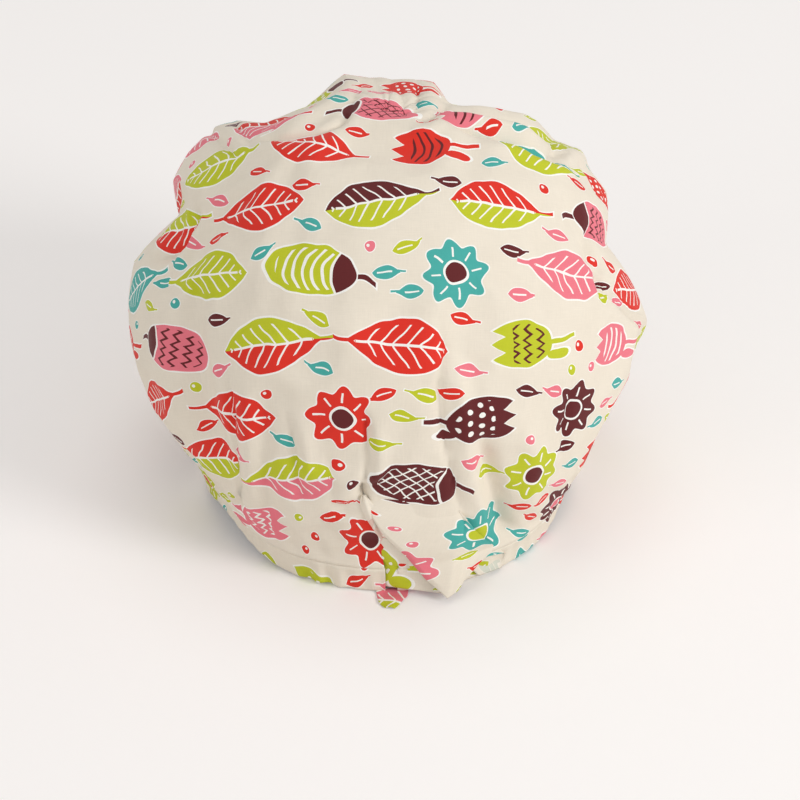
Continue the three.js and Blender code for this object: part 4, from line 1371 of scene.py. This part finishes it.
# How much the knot slants and twists and how deep its edges are tucked in, how much the other
# tie's layer waves, and how far the short end stands off the hem, bulges and waves.
KNOT_SLANT, KNOT_TWIST, KNOT_TUCK = 0.35, 0.6, 1.4
FOLD_WAVE = 0.6
SHORT_FOOT, SHORT_BULGE, SHORT_WAVE = 0.35, 0.9, 0.35


def spanned(first, last, steps):
    """A grid from one line of places to another, and the share of the way of each of its rows."""
    share = np.linspace(0, 1, steps)[:, None]
    return first[None] + (last - first)[None] * share[..., None], share


def print_at(seen):
    """Flat place of the smooth cap at places of the view."""
    return flat_place(on_back(seen))


def wide_tie_end(sides):
    shares = np.linspace(0, 1, 90)
    left = along(WIDE_LEFT, np.clip(shares / WIDE_POINT, 0, 1))
    right = along(WIDE_RIGHT, np.clip((shares - WIDE_POINT) / (1 - WIDE_POINT), 0, 1))
    edge = np.where((shares < WIDE_POINT)[:, None], left, right)
    grid, down = spanned(along(WIDE_TOP, shares), edge, 60)
    seen = grid[..., :2]
    bulge = swell(shares) * swell(down)
    lift = grid[..., 2] + WIDE_BULGE * bulge
    lift += WIDE_FOLDS * np.sin(shares * 11 + 0.6) * swell(down) * bulge
    lift -= WIDE_TURNED * smoothstep(down, 0.93, 1) * (1 - smoothstep(shares, 0.5, WIDE_POINT))
    gap, share = line_distance(seen, WIDE_PLEAT)
    pleat = np.exp(-gap / WIDE_PLEAT_HALF) * (1 - smoothstep(share, 0.5, 1))
    lift -= WIDE_PLEAT_DEPTH * pleat
    front = on_back(seen, lift)
    flat_front = print_at(seen) + down[..., None] * WIDE_PRINT_MOVE

    # the layer that is folded back behind the upper right edge
    shares = np.linspace(0, 1, 36)
    fold = along(WIDE_TOP, WIDE_FOLD_FROM + (1 - WIDE_FOLD_FROM) * shares)
    grid, down = spanned(fold, along(WIDE_BEHIND, shares), 22)
    seen = grid[..., :2]
    under = WIDE_UNDER * np.minimum(down * 6, 1) * np.minimum(1, (1 - shares) * 8 + 0.2)
    sag = WIDE_SAG * swell(np.clip(down * 1.15, 0, 1)) * swell(shares)
    behind = on_back(seen, grid[..., 2] - under - sag)
    reach = np.linalg.norm(seen - fold[None, :, :2], axis=-1) * VIEW_STEP
    flat_behind = print_at(fold[:, :2])[None] + np.stack([np.zeros_like(reach), reach], -1)
    parts = [(front[::-1], flat_front[::-1]), (behind, flat_behind)]
    return make_piece("wide_tie_end_cloth", parts, sides, merge=0.05, offset=0.0)


def under_fold(sides):
    """The layer of the other tie that shows between the left hem and the wide end."""
    shares = np.linspace(0, 1, 44)
    grid, down = spanned(along(FOLD_TOP, shares), along(FOLD_FOOT, shares), 40)
    seen = grid[..., :2]
    points = on_back(seen, grid[..., 2] + FOLD_WAVE * np.sin(shares * 9) * swell(down))
    flat = print_at(seen) + FOLD_PRINT_MOVE
    return make_piece("right_tie_fold_cloth", [(points[::-1], flat[::-1])], sides, offset=0.0)


def short_tie_end(sides):
    """The short end, which lies on the table from the foot of the fold outwards."""
    shares = np.linspace(0, 1, 30)
    flat, across = spanned(along(SHORT_LEFT, shares), along(SHORT_RIGHT, shares), 24)
    rise = SHORT_FOOT + SHORT_BULGE * swell(across) * smoothstep(shares, 0.2, 1.0)
    rise = rise + SHORT_WAVE * np.sin(shares * 7) ** 2
    points = np.concatenate([flat, rise[..., None]], -1)
    parts = [(points, flat + SHORT_PRINT_MOVE)]
    return make_piece("right_tie_end_cloth", parts, sides, offset=0.0)


def knot(sides):
    """The half knot: a short twisted roll of cloth from the pucker to below the wide end."""
    shares = np.linspace(0, 1, 56)
    across, down, rise, left, right = along(KNOT_PATH, shares).T[..., None]
    around = np.linspace(-1, 1, 36)
    reach = around * np.where(around < 0, left, right)
    seen = np.stack([across + reach, down - reach * KNOT_SLANT], -1)
    dome = np.sqrt(np.clip(1 - around**2, 0, 1))
    twist = np.sin((around * 1.6 + shares[:, None] * 2.2) * math.pi)
    points = on_back(seen, (rise + KNOT_TWIST * twist) * dome - KNOT_TUCK * (1 - dome))
    return make_piece("tie_knot_cloth", [(points, print_at(seen))], sides)


# ---- Stitches

STITCH_SIZES = {"Pitch": 2.8, "Stitch Length": 2.1, "Thread Thickness": 0.34}
# The band's two rows: below its seam and above its lower edge, and how far outside they lie.
SEAM_ROW_DROP, SEAM_ROW_OUT = 2.6, 0.12
EDGE_ROW_HEIGHT, EDGE_ROW_OUT = 3.2, 0.08
ROW_END_GAP = 0.01


def stitch_tree(material):
    """Stitches along an edge path, as a Geometry Nodes tree with named sizes."""
    tree = bpy.data.node_groups.new("row_of_stitches", "GeometryNodeTree")
    tree.interface.new_socket("Path", in_out="INPUT", socket_type="NodeSocketGeometry")
    sizes = {}
    for label, value in STITCH_SIZES.items():
        socket = tree.interface.new_socket(label, in_out="INPUT", socket_type="NodeSocketFloat")
        socket.default_value = value * MM
        sizes[label] = socket.identifier
    tree.interface.new_socket("Stitches", in_out="OUTPUT", socket_type="NodeSocketGeometry")
    given, out = tree.nodes.new("NodeGroupInput"), tree.nodes.new("NodeGroupOutput")
    thickness = given.outputs["Thread Thickness"]
    curve = add_node(tree, "GeometryNodeMeshToCurve", {0: given.outputs["Path"]})
    spots = add_node(tree, "GeometryNodeCurveToPoints", {"Curve": curve.outputs[0]})
    spots.mode = "LENGTH"
    feed(tree, spots.inputs["Length"], given.outputs["Pitch"])
    ball = add_node(tree, "GeometryNodeMeshIcoSphere", {"Radius": 0.5, "Subdivisions": 2})
    size = joined(tree, given.outputs["Stitch Length"], thickness, thickness)
    inputs = {"Geometry": ball.outputs["Mesh"], "Scale": size}
    shaped = add_node(tree, "GeometryNodeTransform", inputs)
    inputs = {"Vector": spots.outputs["Tangent"]}
    turned = add_node(tree, "FunctionNodeAlignRotationToVector", inputs)
    turned.axis = "X"
    inputs = {
        "Points": spots.outputs["Points"],
        "Instance": shaped.outputs[0],
        "Rotation": turned.outputs[0],
    }
    laid = add_node(tree, "GeometryNodeInstanceOnPoints", inputs)
    real = add_node(tree, "GeometryNodeRealizeInstances", {0: laid.outputs[0]})
    inputs = {0: real.outputs[0], "Material": material}
    finish = add_node(tree, "GeometryNodeSetMaterial", inputs)
    feed(tree, out.inputs[0], finish.outputs[0])
    return tree, sizes


def stitch_rows(name, lines, material):
    """Rows of stitches along lines of points in mm, as one plain mesh."""
    points, edges = [], []
    for line in lines:
        start = sum(len(p) for p in points)
        points.append(line)
        edges += [(start + k, start + k + 1) for k in range(len(line) - 1)]
    path = bpy.data.meshes.new(name + "_path")
    path.from_pydata(placed(np.concatenate(points)).tolist(), edges, [])
    holder = add_object(name + "_path", path)
    modifier = holder.modifiers.new("stitches", "NODES")
    modifier.node_group, sizes = stitch_tree(material)
    for label, value in STITCH_SIZES.items():
        modifier[sizes[label]] = value * MM
    bpy.context.view_layer.update()
    made = holder.evaluated_get(bpy.context.evaluated_depsgraph_get())
    mesh = bpy.data.meshes.new_from_object(made)
    mesh.name = name
    shade_smooth(mesh)
    piece = add_object(name, mesh)
    bpy.data.objects.remove(holder)
    return piece


# ---- Light, floor and camera


def add_camera():
    """A camera that sees the view from behind."""
    camera = add_object("camera", bpy.data.cameras.new("camera"))
    across = (VIEW_MIDDLE[0] - VIEW_HALF) * VIEW_STEP
    rise = (VIEW_MIDDLE[1] - VIEW_HALF) * VIEW_STEP
    target = BACK * VIEW_DEPTH + SIDE * across + UP * rise
    eye = placed(BACK * CAMERA_DISTANCE)
    camera.location = eye
    look = Vector(placed(target) - eye)
    camera.rotation_euler = look.to_track_quat("-Z", "Y").to_euler()
    camera.data.sensor_width = 36.0
    tangent = VIEW_HALF * VIEW_STEP / (CAMERA_DISTANCE - VIEW_DEPTH)
    camera.data.lens = camera.data.sensor_width / 2 / tangent
    camera.data.clip_end = 20.0
    bpy.context.scene.camera = camera


def add_lamp(name, place, size, power):
    lamp = add_object(name, bpy.data.lights.new(name, "AREA"))
    lamp.location = place
    aim = LAMP_TARGET - Vector(place)
    lamp.rotation_euler = aim.to_track_quat("-Z", "Y").to_euler()
    lamp.data.shape = "DISK"
    lamp.data.size = size
    lamp.data.energy = power


# Lamps: name, place in metres, size in metres and power in watts.
LAMPS = [
    ("right_window", (-2.1, 1.3, 1.3), 1.1, 34),
    ("left_fill", (2.2, 1.5, 1.0), 1.6, 10),
    ("top_light", (0.0, -0.6, 2.4), 1.6, 9),
]
LAMP_TARGET = Vector((0, 0, 0.08))
ROOM_LIGHT = ((1.0, 0.985, 0.97, 1), 0.53)
FLOOR_REACH = 6.0
FLOOR_GLOW = ((1.0, 0.985, 0.98, 1), 0.13)


def add_studio():
    scene = bpy.context.scene
    scene.view_settings.view_transform = "Standard"
    world = bpy.data.worlds.new("soft_room")
    scene.world = world
    world.use_nodes = True
    light = world.node_tree.nodes["Background"].inputs
    light["Color"].default_value, light["Strength"].default_value = ROOM_LIGHT
    for lamp in LAMPS:
        add_lamp(*lamp)
    signs = ((-1, -1), (1, -1), (1, 1), (-1, 1))
    corners = [(x * FLOOR_REACH, y * FLOOR_REACH, 0) for x, y in signs]
    floor_mesh = bpy.data.meshes.new("floor")
    floor_mesh.from_pydata(corners, [], [(0, 1, 2, 3)])
    floor = add_object("floor", floor_mesh)
    material, tree, shader = new_material("pale_floor", 0.9)
    shader.inputs["Base Color"].default_value = srgb(241, 238, 236)
    # the floor looks a little paler to the eye than the light makes it
    rays = tree.nodes.new("ShaderNodeLightPath")
    seen = Field(tree, rays.outputs["Is Camera Ray"])
    for label in ("Is Glossy Ray", "Is Transmission Ray"):
        seen = seen.at_least(Field(tree, rays.outputs[label]))
    glow_colour, strength = FLOOR_GLOW
    inputs = {"Color": glow_colour, "Strength": seen * strength}
    glow = add_node(tree, "ShaderNodeEmission", inputs)
    both = add_node(tree, "ShaderNodeAddShader", {0: shader.outputs[0], 1: glow.outputs[0]})
    feed(tree, tree.nodes["Material Output"].inputs["Surface"], both.outputs[0])
    floor_mesh.materials.append(material)


# ---- The whole cap


def declare(piece, node, body="cap"):
    if body:
        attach(piece, body)
    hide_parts(node)


add_camera()
add_studio()

weave = weave_group()
printed = printed_cloth_group(large_motifs_group(), small_motifs_group())
print_sides = [printed_cotton(weave, printed), printed_reverse(weave, printed)]
lining_cloth = plain_cotton(weave, "lining_cotton", srgb(240, 238, 230), 0.5)
stiffening = stiffener()
towelling = terry()
elastic_braid = braided_elastic()
thread = sewing_thread()

bag = crown_bag(print_sides)
declare(bag, "crown_bag")

band = band_outer(print_sides)
declare(band, "front_band_outer")

azimuths = np.linspace(*BAND_ENDS, 160)
lining = upright_strip(
    "front_band_lining_cloth", azimuths, LINING_FACE, LAYER_FOOT,
    seam_height(azimuths) - LAYER_GAP, lining_cloth, CLOTH_THICKNESS,
)
declare(lining, "front_band_lining")
azimuths = np.linspace(*BAND_ENDS, 120)
stiff = upright_strip(
    "front_band_stiffener", azimuths, STIFFENER_FACE, LAYER_FOOT,
    seam_height(azimuths) - SEAM_LAP - LAYER_GAP, stiffening, STIFFENER_THICKNESS, STIFFENER_MOVE,
)
declare(stiff, "front_band_interfacing")

pad = sweatband(towelling)
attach(pad, "cap")
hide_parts("sweatband")

for side, sign in (("left", 1), ("right", -1)):
    hem_piece = hem(side, sign, print_sides)
    declare(hem_piece, f"{side}_hem")
    near = hem_start(sign) + sign * ELASTIC_END_GAP
    azimuths = np.linspace(near, sign * (BAND_START - ELASTIC_END_GAP), 120)
    elastic = upright_strip(
        f"{side}_elastic_band", azimuths, ELASTIC_FACE, *ELASTIC_EDGES, elastic_braid,
        ELASTIC_THICKNESS, ELASTIC_MOVE,
    )
    declare(elastic, f"{side}_elastic")
    # the tie runs down from the knot, between the hem's two layers, to the band's end
    azimuths = np.linspace(sign * TIE_START, sign * (BAND_START + TIE_START), 120)
    down = smoothstep(abs(azimuths), *TIE_SLOPE)
    tie = upright_strip(
        f"{side}_tie_cloth", azimuths, TIE_FACE, TIE_AT_KNOT[0] - TIE_DROPS[0] * down,
        TIE_AT_KNOT[1] - TIE_DROPS[1] * down, print_sides[0], TIE_THICKNESS, TIE_PRINT_MOVE * sign,
    )
    declare(tie, f"{side}_tie")

knot_piece = knot(print_sides)
declare(knot_piece, "tie_knot")
fold_piece = under_fold(print_sides)
declare(fold_piece, "right_tie_fold")

wide_piece = wide_tie_end(print_sides)
hinge_top = placed(on_back((410.0, 509.0), 0.5))
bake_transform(wide_piece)
declare(wide_piece, "left_tie_tail", body=None)

short_piece = short_tie_end(print_sides)
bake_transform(short_piece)
declare(short_piece, "right_tie_tail", body=None)

azimuths = np.linspace(BAND_ENDS[0] + ROW_END_GAP, BAND_ENDS[1] - ROW_END_GAP, 300)
seam_row = seam_point(azimuths, -SEAM_ROW_DROP, SEAM_ROW_OUT)
edge_row = rim_point(azimuths, EDGE_ROW_HEIGHT, EDGE_ROW_OUT)
band_stitches = stitch_rows("band_stitches", [seam_row, edge_row], thread)
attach(band_stitches, "cap")
